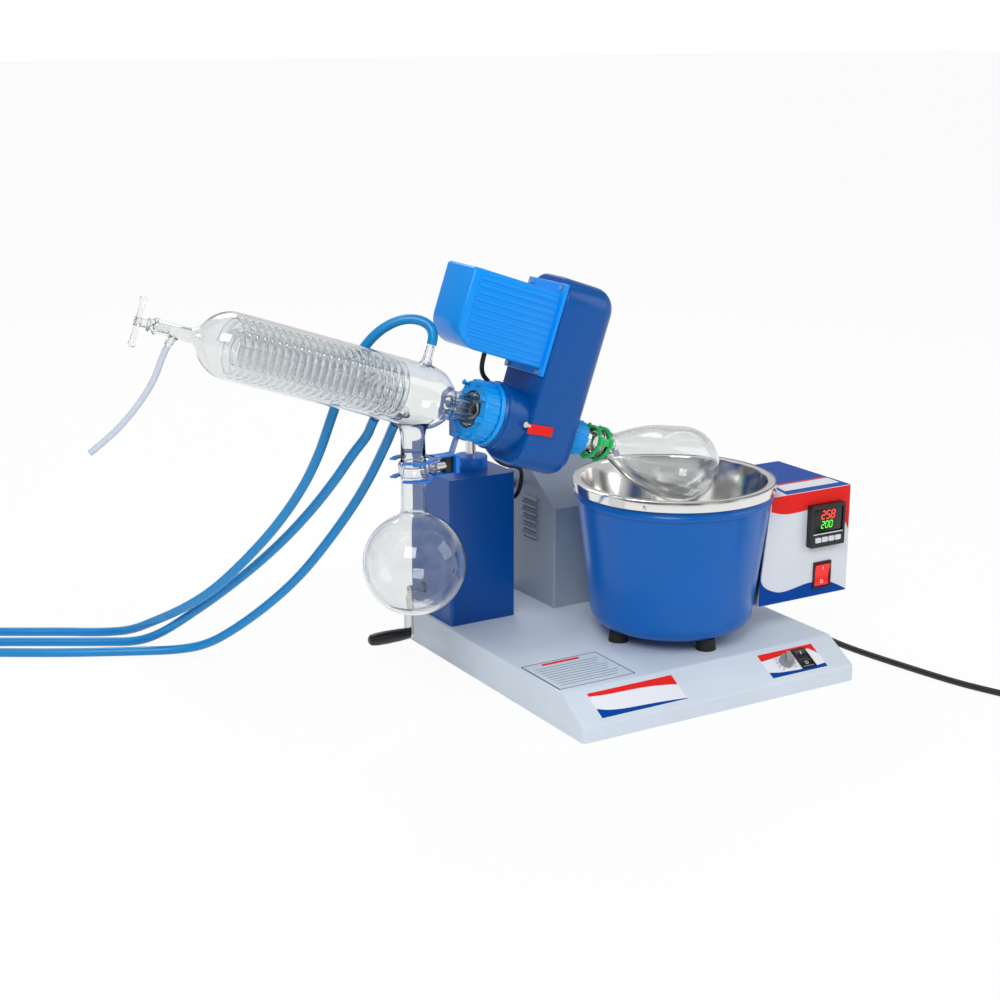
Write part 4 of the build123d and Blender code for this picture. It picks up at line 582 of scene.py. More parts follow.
# Hoses: each leaves a nozzle of the condenser and lies on the table behind to the left
BACK_DOWN = Vector((0, sqrt(0.5), -sqrt(0.5)))
NOZZLE_END = 51.0
HOSE_DIAMETER = 0.010
hose_routes = {
    "vacuum_hose": beyond(axis_point(-66), RISE, NOZZLE_END + 0.2, NOZZLE_END + 10) + metres([
        (-263, -40, 407), (-275, -30, 412), (-290, -20, 409), (-308, -10, 396), (-324, -1, 372),
        (-336, 7, 343), (-345, 17, 308), (-350, 35, 270), (-358, 61, 229), (-373, 96, 183),
        (-392, 136, 139), (-413, 182, 95), (-430, 236, 61), (-443, 290, 34), (-456, 334, 12),
        (-482, 364, 5.2), (-516, 387, 5.2), (-554, 409, 5.2), (-592, 432, 5.2), (-628, 452, 5.2)]),
    "water_outlet_hose": beyond(axis_point(-96), BACK_DOWN, NOZZLE_END + 0.2, NOZZLE_END + 9) + metres([
        (-310, 5, 291), (-317, 24, 270), (-326, 46, 240), (-338, 75, 205), (-354, 112, 165),
        (-375, 154, 124), (-398, 200, 84), (-420, 246, 48), (-438, 284, 20), (-458, 308, 6.5),
        (-487, 329, 5.2), (-523, 350, 5.2), (-563, 374, 5.2), (-602, 397, 5.2), (-640, 417, 5.2)]),
    "water_inlet_hose": beyond(axis_point(-72), BACK_DOWN, NOZZLE_END + 0.2, NOZZLE_END + 9) + metres([
        (-286, 5, 286), (-286, 22, 266), (-289, 42, 238), (-297, 66, 203), (-312, 96, 160),
        (-331, 130, 114), (-353, 168, 74), (-377, 208, 38), (-400, 240, 13), (-428, 262, 5.2),
        (-464, 279, 5.2), (-502, 298, 5.2), (-540, 318, 5.2), (-580, 342, 5.2), (-622, 368, 5.2),
        (-660, 388, 5.2)]),
}
for hose_name, hose_route in hose_routes.items():
    hose, hose_line, hose_length = tube(hose_name + "_bent", hose_route, HOSE_DIAMETER / 2, hose_blue)
    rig.blend(hose, "frame", "lift", start=hose_route[-8], end=hose_route[1])
    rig.replaces(hose, hose_name)
    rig.slot(hose, "hose_blue")
    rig.cord(hose, exit=hose_route[0], length=round(hose_length, 3), diameter=HOSE_DIAMETER,
            far_end="bare", stiffness="medium", lay="loose", path=hose_line)

# Feed tube: hangs from the stem's side nozzle
SIDE_NOZZLE = axis_point(-327, 0, -5.5)
SIDE_DOWN = (-RISE - ALONG * 0.25).normalized()
feed_route = beyond(SIDE_NOZZLE, SIDE_DOWN, 10.2, 18) + metres([
    (-548, -47, 382), (-562, -47, 363), (-578, -47, 346), (-595, -47, 332), (-612, -47, 321)])
feed_tube, feed_line, feed_length = tube("feed_tube_bent", feed_route, 0.003, feed_plastic)
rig.ride(feed_tube, "lift")
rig.replaces(feed_tube, "feed_tube")
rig.slot(feed_tube, "clear_tube")
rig.cord(feed_tube, exit=feed_route[0], length=round(feed_length, 3), diameter=0.006,
        far_end="bare", stiffness="medium", lay="hanging", path=feed_line)

# Motor cable: from under the motor cover to the power box
CABLE_EXIT = axis_point(4, 14, 58)
POWER_GLAND = Vector((-0.038, 0.172, 0.168))
cable_route = beyond(CABLE_EXIT, -RISE, 0.2, 12) + metres([
    (-195, -27, 347), (-182, -16, 338), (-170, -5, 326), (-172, 4, 306), (-174, 12, 286), (-164, 24, 264),
    (-144, 42, 244), (-122, 62, 228), (-100, 82, 217), (-80, 97, 211), (-66, 108, 203), (-62, 113, 190),
    (-64, 116, 174), (-67, 124, 165), (-68, 140, 163), (-67, 158, 165)]) + beyond(POWER_GLAND, -X_AXIS, 22, 8.2)
motor_cable = tube("motor_cable_bent", cable_route, 0.0025, cable_sheath)[0]
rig.blend(motor_cable, "frame", "lift", start=cable_route[-6], end=cable_route[1])
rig.replaces(motor_cable, "motor_cable")
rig.slot(motor_cable, "cable_black")

# Mains cord: leaves the power box, runs forward on the table and ends in a coil and its plug
MAINS_GLAND = Vector((0.080, 0.141, 0.054))
MAINS_RADIUS = 0.0035
MAINS_LOW = 3.7
CORD_COIL_CENTRE = (338, -346)
CORD_COIL_RADIUS = 42.5
CORD_COIL_TURNS = 4
CORD_COIL_STEPS = 16
LAYER = 7.0
mains_route = beyond(MAINS_GLAND, X_AXIS, 10.2, 22) + metres([
    (122, 140, 55), (146, 137, 53.5), (170, 131, 50), (190, 121, 39), (205, 107, 23),
    (216, 88, 9)] + [(across, depth, MAINS_LOW) for across, depth in (
        (224, 64), (230, 36), (234, 4), (235, -32), (233, -72), (233, -112), (238, -152), (245, -192),
        (252, -230), (260, -266), (271, -298), (284, -330))])


def passed(value, start, end):
    """How much of a stretch lies behind, from 0 to 1."""
    return min(max((value - start) / (end - start), 0), 1)


def ring_point(centre, radius, degrees, height):
    """A point on a flat ring, in metres, from millimetres."""
    angle = radians(degrees)
    return ((centre[0] + radius * cos(angle)) * MM, (centre[1] + radius * sin(angle)) * MM,
            height * MM)


for step in range(CORD_COIL_TURNS * CORD_COIL_STEPS):
    turn = step / CORD_COIL_STEPS
    ring_radius = (CORD_COIL_RADIUS - LAYER * passed(turn, 0.83, 1.0)
                   + LAYER * passed(turn, 2.62, 2.75) - 2.2 * passed(turn, 3.6, 4.0))
    ring_height = MAINS_LOW + LAYER * passed(turn, 1.72, 1.86) + LAYER * passed(turn, 3.45, 3.6)
    mains_route.append(ring_point(CORD_COIL_CENTRE, ring_radius, 200 + 360 * turn, ring_height))
CORD_TOP = MAINS_LOW + 2 * LAYER
for step in range(10):
    mains_route.append(ring_point((327.6, -353), 28.4, 202 + 20 * step, CORD_TOP))
for step in range(11):
    drop = 6.7 * passed(step, 4, 9)
    mains_route.append(ring_point((374.25, -322), 29.4, 206 - 20.6 * step, CORD_TOP - drop))
mains_route.append((0.40325, -0.3235, 0.011))
mains_cord, mains_line, mains_length = tube("mains_cord_bent", mains_route, MAINS_RADIUS, cable_sheath)
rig.ride(mains_cord, "frame")
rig.replaces(mains_cord, "mains_cord", "mains_coil")
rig.slot(mains_cord, "cable_black")
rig.cord(mains_cord, exit=mains_route[0], length=round(mains_length, 3), diameter=2 * MAINS_RADIUS,
        far_end="plug", stiffness="medium", lay="coiled", path=mains_line,
        with_pieces=[nodes["mains_plug"]])


# Base: one folded sheet with softly rounded bends and corners
BASE_WIDTH = 352
BASE_TOP = 40


def base_sheet_form():
    form = bmesh.new()
    side = [form.verts.new((-BASE_WIDTH / 2, depth, height)) for depth, height in
            ((-192, 0), (-192, 16), (-150, BASE_TOP), (192, BASE_TOP), (192, 0))]
    extruded(form, side, (BASE_WIDTH, 0, 0))
    bmesh.ops.recalc_face_normals(form, faces=form.faces)
    bottom = [face for face in form.faces if all(vert.co.z < 0.01 for vert in face.verts)]
    bmesh.ops.delete(form, geom=bottom, context="FACES_ONLY")
    upright_edges = [edge for edge in form.edges if not edge.is_boundary
                     and abs(edge.verts[0].co.x - edge.verts[1].co.x) < 0.01
                     and abs(edge.verts[0].co.y - edge.verts[1].co.y) < 0.01]
    round_edges(form, upright_edges, 5, 6)
    bends = [edge for edge in form.edges if not edge.is_boundary and edge.calc_face_angle(0) > 0.3]
    round_edges(form, bends, 1.8, 3, clamp=True)
    bmesh.ops.recalc_face_normals(form, faces=form.faces)
    bmesh.ops.solidify(form, geom=form.faces, thickness=1.9)
    return form


piece("base_sheet", base_sheet_form(), ON_TABLE, base_paint, "frame", ["base_housing"], "base_paint", 30)

# Heating bath: tapered enamel body and mirror-bright bowl
def bath_body_form():
    """The body's profile, as heights and radii, from the middle of its floor."""
    floor_bend = [(72 - across, 70.5 + out) for across, out in arc((0, 0), 19, 0, 91, 10)]
    outside = [(53, 0)] + floor_bend
    outside += [(193.5, 105.1), (194, 107.2), (195.5, 107.9), (197.5, 107.9), (199, 107.0), (200, 106.4),
                (214.3, 106.5), (214.3, 105.0), (205, 105.0), (72, 88.0), (54.5, 70.5), (54.5, 0)]
    return spun(outside, steps=128)


piece("bath_shell", bath_body_form(), upright(BATH_CENTRE), bath_blue, "frame", ["bath_body"], "bath_paint")
bowl_profile = [(97, 0), (97, 84)] + [
    (102 - 5 * cos(radians(a)), 84 + 5.2 * sin(radians(a))) for a in range(15, 91, 15)]
bowl_profile += [(214.2, 101.5), (214.5, 102.2), (214.5, 108.6), (213.4, 109.0), (205.2, 109.0), (205.2, 110.2),
                 (213.6, 110.4), (215.2, 109.9), (216, 108.6), (216, 103.0), (215.4, 100.8), (213.5, 100.0)]
bowl_profile += [(103.5 - across, 84 + out) for across, out in arc((0, 0), 3.6, 90, -1, -15)]
bowl_profile += [(98.6, 84), (98.6, 0)]
piece("bath_bowl_bright", spun(bowl_profile, steps=128), upright(BATH_CENTRE), mirror_steel, "frame",
      ["bath_bowl"], "polished_steel")

# Four rivets hold the rim
RIM_OUTSIDE = 110.2
RIVET_HEIGHT = 208.8
rivets = bmesh.new()
for rivet in range(4):
    dome = round_bar(rivets, (RIM_OUTSIDE, 0, RIVET_HEIGHT), (RIM_OUTSIDE + 1.7, 0, RIVET_HEIGHT), 2.3, 20, 1.2)
    bmesh.ops.transform(rivets, matrix=tilted("Z", 38 + 90 * rivet), verts=dome)
piece("bath_rim_rivets", rivets, place(BATH_CENTRE, X_AXIS, BACK, Z_AXIS), plate_steel, "frame", slot="steel")

# Glass: walls, and the pear flask from its neck to its round end
WALL = 1.8


def walled(outside):
    """A glass wall's closed profile: its outside, and back along the inside."""
    inside = []
    for index, (height, radius) in enumerate(outside):
        before = outside[max(index - 1, 0)]
        after = outside[min(index + 1, len(outside) - 1)]
        run = Vector((after[0] - before[0], after[1] - before[1])).normalized()
        inside.append((height + run.y * WALL, max(radius - run.x * WALL, 0)))
    inside[-1] = (outside[-1][0] - WALL, 0)
    return outside + inside[::-1]


def smooth_line(points, rounds=2):
    """Cuts the corners of a profile so that blown glass turns softly."""
    for _ in range(rounds):
        cut = [points[0]]
        for a, b in zip(points, points[1:]):
            cut.append((a[0] * 0.75 + b[0] * 0.25, a[1] * 0.75 + b[1] * 0.25))
            cut.append((a[0] * 0.25 + b[0] * 0.75, a[1] * 0.25 + b[1] * 0.75))
        points = cut + [points[-1]]
    return points


FLANK_START = 180.0
FLASK_CENTRE = 276.0
FLASK_RADIUS = 42.0
NECK_RADIUS = 14.2
FLANK_SWELL = 4.6
lean = asin((FLASK_RADIUS - NECK_RADIUS) / (FLASK_CENTRE - FLANK_START))
ball = [(FLASK_CENTRE + FLASK_RADIUS * sin(a), FLASK_RADIUS * cos(a))
        for a in [-lean + (pi / 2 + lean) * step / 22 for step in range(23)]]
ball[-1] = (FLASK_CENTRE + FLASK_RADIUS, 0)
flank_start = Vector((FLANK_START, NECK_RADIUS, 0))
flank_end = Vector((*ball[0], 0))
flank = []
for step in range(1, 12):
    on_flank = flank_start.lerp(flank_end, step / 12)
    flank.append((on_flank.x, on_flank.y + FLANK_SWELL * sin(pi * step / 12)))
flask_profile = [(158, 15.7), (161, 15.7), (162, NECK_RADIUS), (174, NECK_RADIUS)] + smooth_line(
    [(176, NECK_RADIUS), (180, NECK_RADIUS)] + flank[:2], 1) + flank[2:] + ball[1:]
piece("evaporating_flask_blown", spun(walled(flask_profile), closed=True), ON_AXIS, flask_glass, "spindle",
      ["evaporating_flask"], "glass", 50)

# Vapour tube with the ground cone inside the flask's neck
piece("vapour_tube_drawn", spun([
    (-30, 6.6), (-30, 8.4), (147, 8.4), (151, 12.9), (158, 12.9), (177, 9.2), (177, 7.6), (158, 10.2),
    (152, 10.0), (147, 6.6)], closed=True), ON_AXIS, wall_glass, "spindle", ["vapour_tube"], "glass", 50)

# Condenser jacket: domed left end, drawn stem, and a throat into the nut
left_dome = smooth_line([(-316, 6.5), (-309, 7), (-302, 12), (-292, 24), (-279, 31.4), (-262, 32)])
right_throat = smooth_line([(-80, 32), (-62, 32), (-48, 31), (-37, 24), (-30, 15), (-24, 14), (-18, 14)])
jacket_profile = [(-347, 6.5), (-346, 7.6), (-343.5, 7.6), (-342, 6.5)] + left_dome + right_throat + [
    (-6, 14), (-4, 15), (-3, 17), (2.2, 17), (2.3, 21.8), (5, 21.9)]
jacket_inside = [(height, radius - WALL) for height, radius in
                 [(5, 14), (-18, 14)] + right_throat[::-1] + left_dome[::-1] + [(-347, 6.5)]]
piece("condenser_jacket_blown", spun(jacket_profile + jacket_inside, closed=True), ON_AXIS, wall_glass, "lift",
      ["condenser_jacket"], "glass", 50)


def nozzle_form():
    """A hose nozzle: a flared root on the jacket and three barbs under the hose."""
    barbs = [(29.5, 9.5), (31.5, 7.2), (34, 5.6), (38, 4.6), (40, 4.9), (41, 4.2), (44, 4.9), (45, 4.2),
             (48, 4.7), (50.6, 3.6), (50.6, 2.3), (33, 3.0), (30, 5.0)]
    return spun(barbs, closed=True, steps=32)


for nozzle_name, along, outward in (
        ("vacuum_nozzle", -66, RISE), ("water_outlet_nozzle", -96, BACK_DOWN),
        ("water_inlet_nozzle", -72, BACK_DOWN)):
    sideways = outward.cross(ALONG).normalized()
    piece(nozzle_name, nozzle_form(), place(axis_point(along), outward, ALONG, sideways * -1), wall_glass,
          "lift", slot="glass", sharp=50)
side_across = SIDE_DOWN.cross(BACK).normalized()
side_profile = [(-0.5, 5.5), (2, 4.2), (4, 3.7), (6, 4.1), (7, 3.5), (9, 3.9), (10, 3.1), (10, 1.9), (1, 2.4)]
piece("feed_nozzle", spun(side_profile, closed=True, steps=32),
      place(SIDE_NOZZLE, SIDE_DOWN, BACK, side_across * -1), wall_glass, "lift", slot="glass", sharp=50)

# Outlet of the condenser, down to the ball joint
outlet_profile = [(268, 10.2), (268, 15), (271, 15), (274, 12.6), (298, 12), (306, 13.6), (312, 17.5),
                  (314.5, 21), (313, 18), (306, 12), (298, 10.2)]
piece("condenser_outlet", spun(outlet_profile, closed=True, steps=64), upright(RECEIVER_CENTRE), wall_glass,
      "lift", slot="glass", sharp=50)


GLASS_TURNS = 23
GLASS_STEPS = 20


def coil_tube(name, radius, start, end, node):
    """A wound glass tube inside the jacket, with a lead out at its right end."""
    points = []
    last = GLASS_TURNS * GLASS_STEPS
    for step in range(last + 1):
        share = step / last
        angle = tau * GLASS_TURNS * share
        points.append(tuple(axis_point(
            start + (end - start) * share, radius * cos(angle), radius * sin(angle))))
    points += [tuple(axis_point(end + 3, radius + 1.5, -2)), tuple(axis_point(end + 4, 28.5, -4))]
    coil = tube(name, points, 0.0029, coil_glass)[0]
    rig.ride(coil, "lift")
    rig.replaces(coil, node)
    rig.slot(coil, "coil_glass")


coil_tube("outer_coil_wound", 26.0, -270, -90, "outer_coil")
coil_tube("inner_coil_wound", 14.6, -268, -84, "inner_coil")

# Stopcock with its T bar
stopcock = spun([(-352.2, 0), (-352.2, 6.2), (-351, 6.6), (-348.4, 6.6), (-347.3, 6.0), (-347.2, 4.6),
                 (-333, 4.5), (-333, 0)], steps=48)
round_bar(stopcock, (-365, 0, 0), (-351, 0, 0), 4.0, 32)
half_tee = [(3, 3.2), (6, 2.5), (17, 2.6), (19, 3.3), (21.5, 3.6), (23.3, 2.4), (23.5, 0)]
tee = spun([(-across, radius) for across, radius in half_tee[::-1]] + half_tee, steps=40)
piece("stopcock_stem", stopcock, ON_AXIS, wall_glass, "stopcock", ["stopcock_key"], "glass", 50)
piece("stopcock_bar", tee, place(axis_point(-362.5), RISE, ALONG, BACK), wall_glass, "stopcock",
      slot="glass", sharp=50)

# Receiving flask
RECEIVER_Z = 167.0
RECEIVER_RADIUS = 52.4


def receiver_arc(radius):
    """The ball's profile, from its bottom to the root of its neck."""
    root = radians(156)
    return [(RECEIVER_Z - radius * cos(a), radius * sin(a))
            for a in [root * step / 38 for step in range(39)]]


receiver_outside = receiver_arc(RECEIVER_RADIUS)
receiver_outside += smooth_line([receiver_outside[-1], (218.5, 14.6), (222, 12.8), (230, 12.8)])[1:]
receiver_outside += [(256, 12.8), (259, 13.2), (262, 15), (267.8, 15)]
receiver_inside = receiver_arc(RECEIVER_RADIUS - WALL)
receiver_inside += smooth_line([receiver_inside[-1], (217.2, 13.2), (221, 11.0), (230, 11.0)])[1:]
receiver_inside += [(258, 11.0), (267.8, 11.2)]
piece("receiving_flask_blown", spun(receiver_outside + receiver_inside[::-1]), upright(RECEIVER_CENTRE),
      flask_glass, "lift", ["receiving_flask"], "glass", 50)


# Nut with its skirt and claws, and the end collar
def ribbed_ring(inside, outside, start, end, ribs, depth):
    """A ring whose rim carries raised ribs along its axis."""
    round_off = 1.2
    form = spun([(start, inside), (start, outside - round_off), (start + round_off, outside),
                 (end - round_off, outside), (end, outside - round_off), (end, inside)], closed=True)
    for rib in range(ribs):
        turn = Matrix.Rotation(tau * rib / ribs, 4, "X")
        width = tau * outside / ribs * 0.5
        block(form, turn @ Vector(((start + end) / 2, 0, outside - 0.6)),
              (end - start - 1.0, width, 2 * depth + 1.2), 0.7, 2, turn)
    return form


piece("condenser_nut_ribbed", ribbed_ring(19.5, 30.4, -3, 14, 22, 0.9), ON_AXIS, nut_blue, "lift",
      ["condenser_nut"], "light_blue")
skirt_profile = [(14, 27.2), (14, 32.2), (15, 33), (17.8, 33), (18.6, 32.2), (18.6, 27.2)]
piece("condenser_nut_skirt", spun(skirt_profile, closed=True), ON_AXIS, nut_blue, "lift", slot="light_blue")
claws = bmesh.new()
for claw in range(8):
    turn = Matrix.Rotation(tau * (claw + 0.3) / 8, 4, "X")
    block(claws, turn @ Vector((-6.0, 0, 27.6)), (7.0, 5.4, 1.8), 0.5, 2, turn)
    block(claws, turn @ Vector((-9.2, 0, 28.8)), (1.6, 5.4, 3.6), 0.5, 2, turn)
piece("condenser_nut_claws", claws, ON_AXIS, nut_blue, "lift", slot="light_blue")
piece("end_collar_ribbed", ribbed_ring(12, 17.6, 115, 136, 16, 0.8), ON_AXIS, nut_blue, "spindle",
      ["end_collar"], "light_blue")


# Joint clip: two sprung rings joined by three fingers
def clip_form():
    form = bmesh.new()
    for start, outer in ((150, 17.4), (163, 18.2)):
        spin(form, [(start, 14.4), (start, outer - 0.6), (start + 0.6, outer), (start + 2.4, outer),
                    (start + 3, outer - 0.6), (start + 3, 14.4)], closed=True, steps=64)
    for finger in range(3):
        turn = tilted("X", 200 + 120 * finger)
        block(form, turn @ Vector((158, 0, 17.4)), (17, 8, 1.9), 0.6, 2, turn)
        for hook in (151, 165):
            block(form, turn @ Vector((hook, 0, 18.8)), (3.4, 9.5, 2.6), 0.7, 2, turn)
    return form


piece("joint_clip_sprung", clip_form(), ON_AXIS, joint_green, "spindle", ["joint_clip"], "green_plastic")


# Clamp forks: two thin open rings on arms, pressed together by a screw with a coiled spring
FORK_SHEET = 1.8


def fork_form(height):
    form = bmesh.new()
    first = tilted("Z", -128)
    low, high = height - FORK_SHEET / 2, height + FORK_SHEET / 2
    corners = [form.verts.new(first @ Vector((radius, 0, level))) for radius, level in
               ((16.0, low), (22.5, low), (22.5, high), (16.0, high))]
    section = form.faces.new(corners)
    bmesh.ops.spin(form, geom=[section], cent=(0, 0, 0), axis=(0, 0, 1), angle=radians(256), steps=36)
    block(form, (32, 0, height), (26, 13, FORK_SHEET), 0.5)
    for side in (-1, 1):
        turn = tilted("Z", side * 130)
        block(form, turn @ Vector((19.5, side * 2, height)), (7, 9, FORK_SHEET), 0.6, 2, turn)
    return form


ON_RECEIVER = place(RECEIVER_CENTRE, X_AXIS, BACK, Z_AXIS)
piece("clamp_fork_upper", fork_form(274.5), ON_RECEIVER, bright_blue, "lift", ["clamp_forks"], "light_blue")
piece("clamp_fork_lower", fork_form(256), ON_RECEIVER, bright_blue, "lift", slot="light_blue")
pivot = bmesh.new()
block(pivot, (38, 0, 265), (9, 11, 17), 1.2)
piece("clamp_pivot", pivot, ON_RECEIVER, black_plastic, "lift", slot="black_plastic")
spring_route = []
for step in range(85):
    angle = tau * step / 12
    spring_route.append(tuple(RECEIVER_CENTRE + Vector((
        0.027 + 0.0032 * cos(angle), 0.0032 * sin(angle), 0.2572 + 0.0162 * step / 84))))
clamp_spring = tube("clamp_spring", spring_route, 0.0006, plate_steel)[0]
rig.ride(clamp_spring, "lift")
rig.slot(clamp_spring, "steel")

# Crank: its turned grip and the bolts at both ends of the arm
grip_profile = [(0, 3.2), (0, 5.6), (1.2, 6.4), (12, 7.2), (30, 7.6), (42, 7.2), (48, 6.2), (50.4, 4.0),
                (51, 1.5), (51, 0), (43, 0), (43, 3.1)]
piece("crank_grip_turned", spun(grip_profile, steps=48),
      place(Vector((-0.1923, CRANK_Y, 0.018)), -X_AXIS, BACK, -Z_AXIS), grip_black, "grip", ["crank_grip"],
      "black_plastic")
arm_bolts = bmesh.new()
for bolt_x, bolt_z, side in ((-192.0, 66.0, -1), (-189.0, 18.0, 1)):
    head = spun([(0, 0), (3.2, 0), (2.9, 1.8), (1.8, 3.6), (0.5, 4.6), (0, 4.8)], steps=24)
    head.transform(place(Vector((bolt_x, CRANK_Y / MM, bolt_z)), X_AXIS * side, BACK, Z_AXIS * side, 1.0))
    join(arm_bolts, head)
piece("crank_arm_bolts", arm_bolts, ON_TABLE, plate_steel, "crank", slot="steel")


# Head case: rounded gear case with the boss
def rounded_box_form(start, end, half_width, low, high, corner, end_round, start_round):
    """A case along the axis: a rounded outline, its far end softly rounded."""
    form = bmesh.new()
    block(form, ((start + end) / 2, 0, (low + high) / 2), (end - start, 2 * half_width, high - low))
    long_edges = [edge for edge in form.edges
                  if abs(edge.verts[0].co.x - edge.verts[1].co.x) > (end - start) / 2]
    round_edges(form, long_edges, corner, 10)
    far = [edge for edge in form.edges if all(vert.co.x > end - 0.01 for vert in edge.verts)]
    round_edges(form, far, end_round, 8, clamp=True)
    near = [edge for edge in form.edges if all(vert.co.x < start + 0.01 for vert in edge.verts)]
    round_edges(form, near, start_round, 4, clamp=True)
    return form


case = rounded_box_form(48, 114, 37, -44, 153, 24, 20, 3)
spin(case, [(50, 24), (50, 33.5), (28, 33.5), (27.6, 34.8), (22.5, 34.8), (22, 33.5), (20.5, 33.5),
            (19, 32.2), (19, 27), (8.5, 27), (8, 26.5), (8, 21.5), (50, 21.5)], closed=True)
piece("head_case", case, ON_AXIS, deep_blue, "lift", ["head_housing"], "head_paint", 40)


# Motor cover: tapered shell with a round chin, long ribs on both sides and a flange
COVER_START = 43.7
COVER_LENGTH = 102.7
COVER_HALF = 32
COVER_TAPER = 0.125
FLANGE = 4
CHIN_CENTRE, CHIN_RISE, CHIN_RADIUS = -33, 84, 26
RIB_END = 42


def cover_half_width(along):
    """Half the shell's width at a place along the axis: it narrows away from the flange."""
    return COVER_HALF * (1 - COVER_TAPER * (COVER_START - along) / COVER_LENGTH)


def cover_form():
    form = bmesh.new()
    block(form, (COVER_START + FLANGE / 2, 0, 98.5), (FLANGE, 72, 95), 1.2, 3)
    outline = [(COVER_START, 58), (COVER_START, 136), (-57, 136), (-59, 134)] + arc(
        (CHIN_CENTRE, CHIN_RISE), CHIN_RADIUS, 180, 271, 9)
    near = [form.verts.new((along, -COVER_HALF, rise)) for along, rise in outline]
    far = extruded(form, near, (0, 2 * COVER_HALF, 0))
    for vert in near + far:
        vert.co.y *= cover_half_width(min(vert.co.x, COVER_START)) / COVER_HALF
    rim = [edge for edge in form.edges if edge.verts[0] in near and edge.verts[1] in near
           or edge.verts[0] in far and edge.verts[1] in far]
    rim = [edge for edge in rim if not all(abs(vert.co.x - COVER_START) < 0.01 for vert in edge.verts)]
    round_edges(form, rim, 3.5, 4, clamp=True)
    for side in (-1, 1):
        lean_in = Matrix.Rotation(side * atan(COVER_TAPER * COVER_HALF / COVER_LENGTH), 4, "Z")
        for rib in range(10):
            rise = 65 + rib * 7.0
            start = -50
            if rise <= CHIN_RISE:
                inset = sqrt(max(1 - ((CHIN_RISE - rise) / CHIN_RADIUS) ** 2, 0))
                start = CHIN_CENTRE - CHIN_RADIUS * inset + 9
            middle = (RIB_END + start) / 2
            block(form, (middle, side * (cover_half_width(middle) + 0.1), rise),
                  (RIB_END - start, 1.8, 3.6), 0.7, 2, lean_in)
    return form


piece("motor_cover_ribbed", cover_form(), ON_AXIS, cover_blue, "lift", ["motor_cover"], "light_blue", 35)


# Labels and controls
def plate(name, where, centre, size, material, slot, lift=0.25, thick=0.5, round_off=0.15):
    """A thin plate or strip of film lying on a face."""
    form = bmesh.new()
    block(form, (*centre, lift), (*size, thick), round_off, 1)
    piece(name, form, where, material, "frame", slot=slot)


def film(name, where, outline, material, slot, lift=0.1, thick=0.3):
    """A printed shape on a face, from its outline."""
    form = bmesh.new()
    extruded(form, [form.verts.new((across, up, lift - thick / 2)) for across, up in outline], (0, 0, thick))
    piece(name, form, where, material, "frame", slot=slot)


def band(edge, start, curve, end, rounds):
    """An outline between a straight edge and a curve: where the edge starts, the curve, where it ends."""
    return [(start, edge)] + smooth_line(curve, rounds) + [(end, edge)]


plate("left_label", ON_SLOPE, (-97, 0), (106, 34), label_white, "panel_paint")
film("left_label_red", ON_SLOPE, band(16.6, -149.6, [
    (-149.6, 12.5), (-132, 10.5), (-108, 10), (-80, 9), (-60, 6.5), (-44.4, 3.5)], -44.4, 2),
     label_red, "red_plastic", 0.45)
film("left_label_blue", ON_SLOPE, band(-16.6, -149.6, [
    (-149.6, -4), (-138, -8.5), (-120, -11), (-96, -12), (-70, -13.4), (-44.4, -15.6)], -44.4, 2),
     label_blue, "light_blue", 0.45)
plate("right_label", ON_SLOPE, (106, 0), (76, 34), label_white, "panel_paint")
film("right_label_red", ON_SLOPE, band(16.6, 68.6, [
    (68.6, 7.5), (84, 8.5), (104, 11), (124, 12.5), (136, 11), (143.4, 3)], 143.4, 0),
     label_red, "red_plastic", 0.45)
film("right_label_blue", ON_SLOPE, band(-16.6, 68.6, [
    (68.6, -8.5), (80, -11), (100, -12.6), (122, -13.4), (143.4, -11.5)], 143.4, 0),
     label_blue, "light_blue", 0.45)
dial_ticks = bmesh.new()
for tick in range(11):
    turn = tilted("Z", 135 - 27 * tick)
    block(dial_ticks, turn @ Vector((0, 11.2, 0)) + Vector((97, 0, 0.5)), (0.6, 2.4 if tick % 5 else 3.4, 0.3),
          turn=turn)
piece("speed_dial_ticks", dial_ticks, ON_SLOPE, label_ink, "frame", slot="black_plastic")
ON_BASE = place(Vector((0, 0, 0.040)), X_AXIS, BACK, Z_AXIS)
plate("information_plate", ON_BASE, (-125.5, -104), (93, 76), base_paint, "panel_paint")
plate_border = bmesh.new()
for centre, size in (((-125.5, -66.8), (93, 0.9)), ((-125.5, -141.2), (93, 0.9)),
                     ((-171.6, -104), (0.9, 75.3)), ((-79.4, -104), (0.9, 75.3))):
    block(plate_border, (*centre, 0.4), (*size, 0.5))
piece("information_plate_border", plate_border, ON_BASE, label_ink, "frame", slot="black_plastic")
plate_lines = bmesh.new()
for row in range(9):
    inset = 2 * (row % 3)
    block(plate_lines, (-125.5 - inset, -82 - row * 6.2, 0.4), (78 - 2 * inset, 1.1, 0.5))
piece("information_plate_lines", plate_lines, ON_BASE, ruled_grey, "frame", slot="key_grey")
plate("information_plate_bar", ON_BASE, (-127, -72.5), (46, 5), label_red, "red_plastic", 0.4)

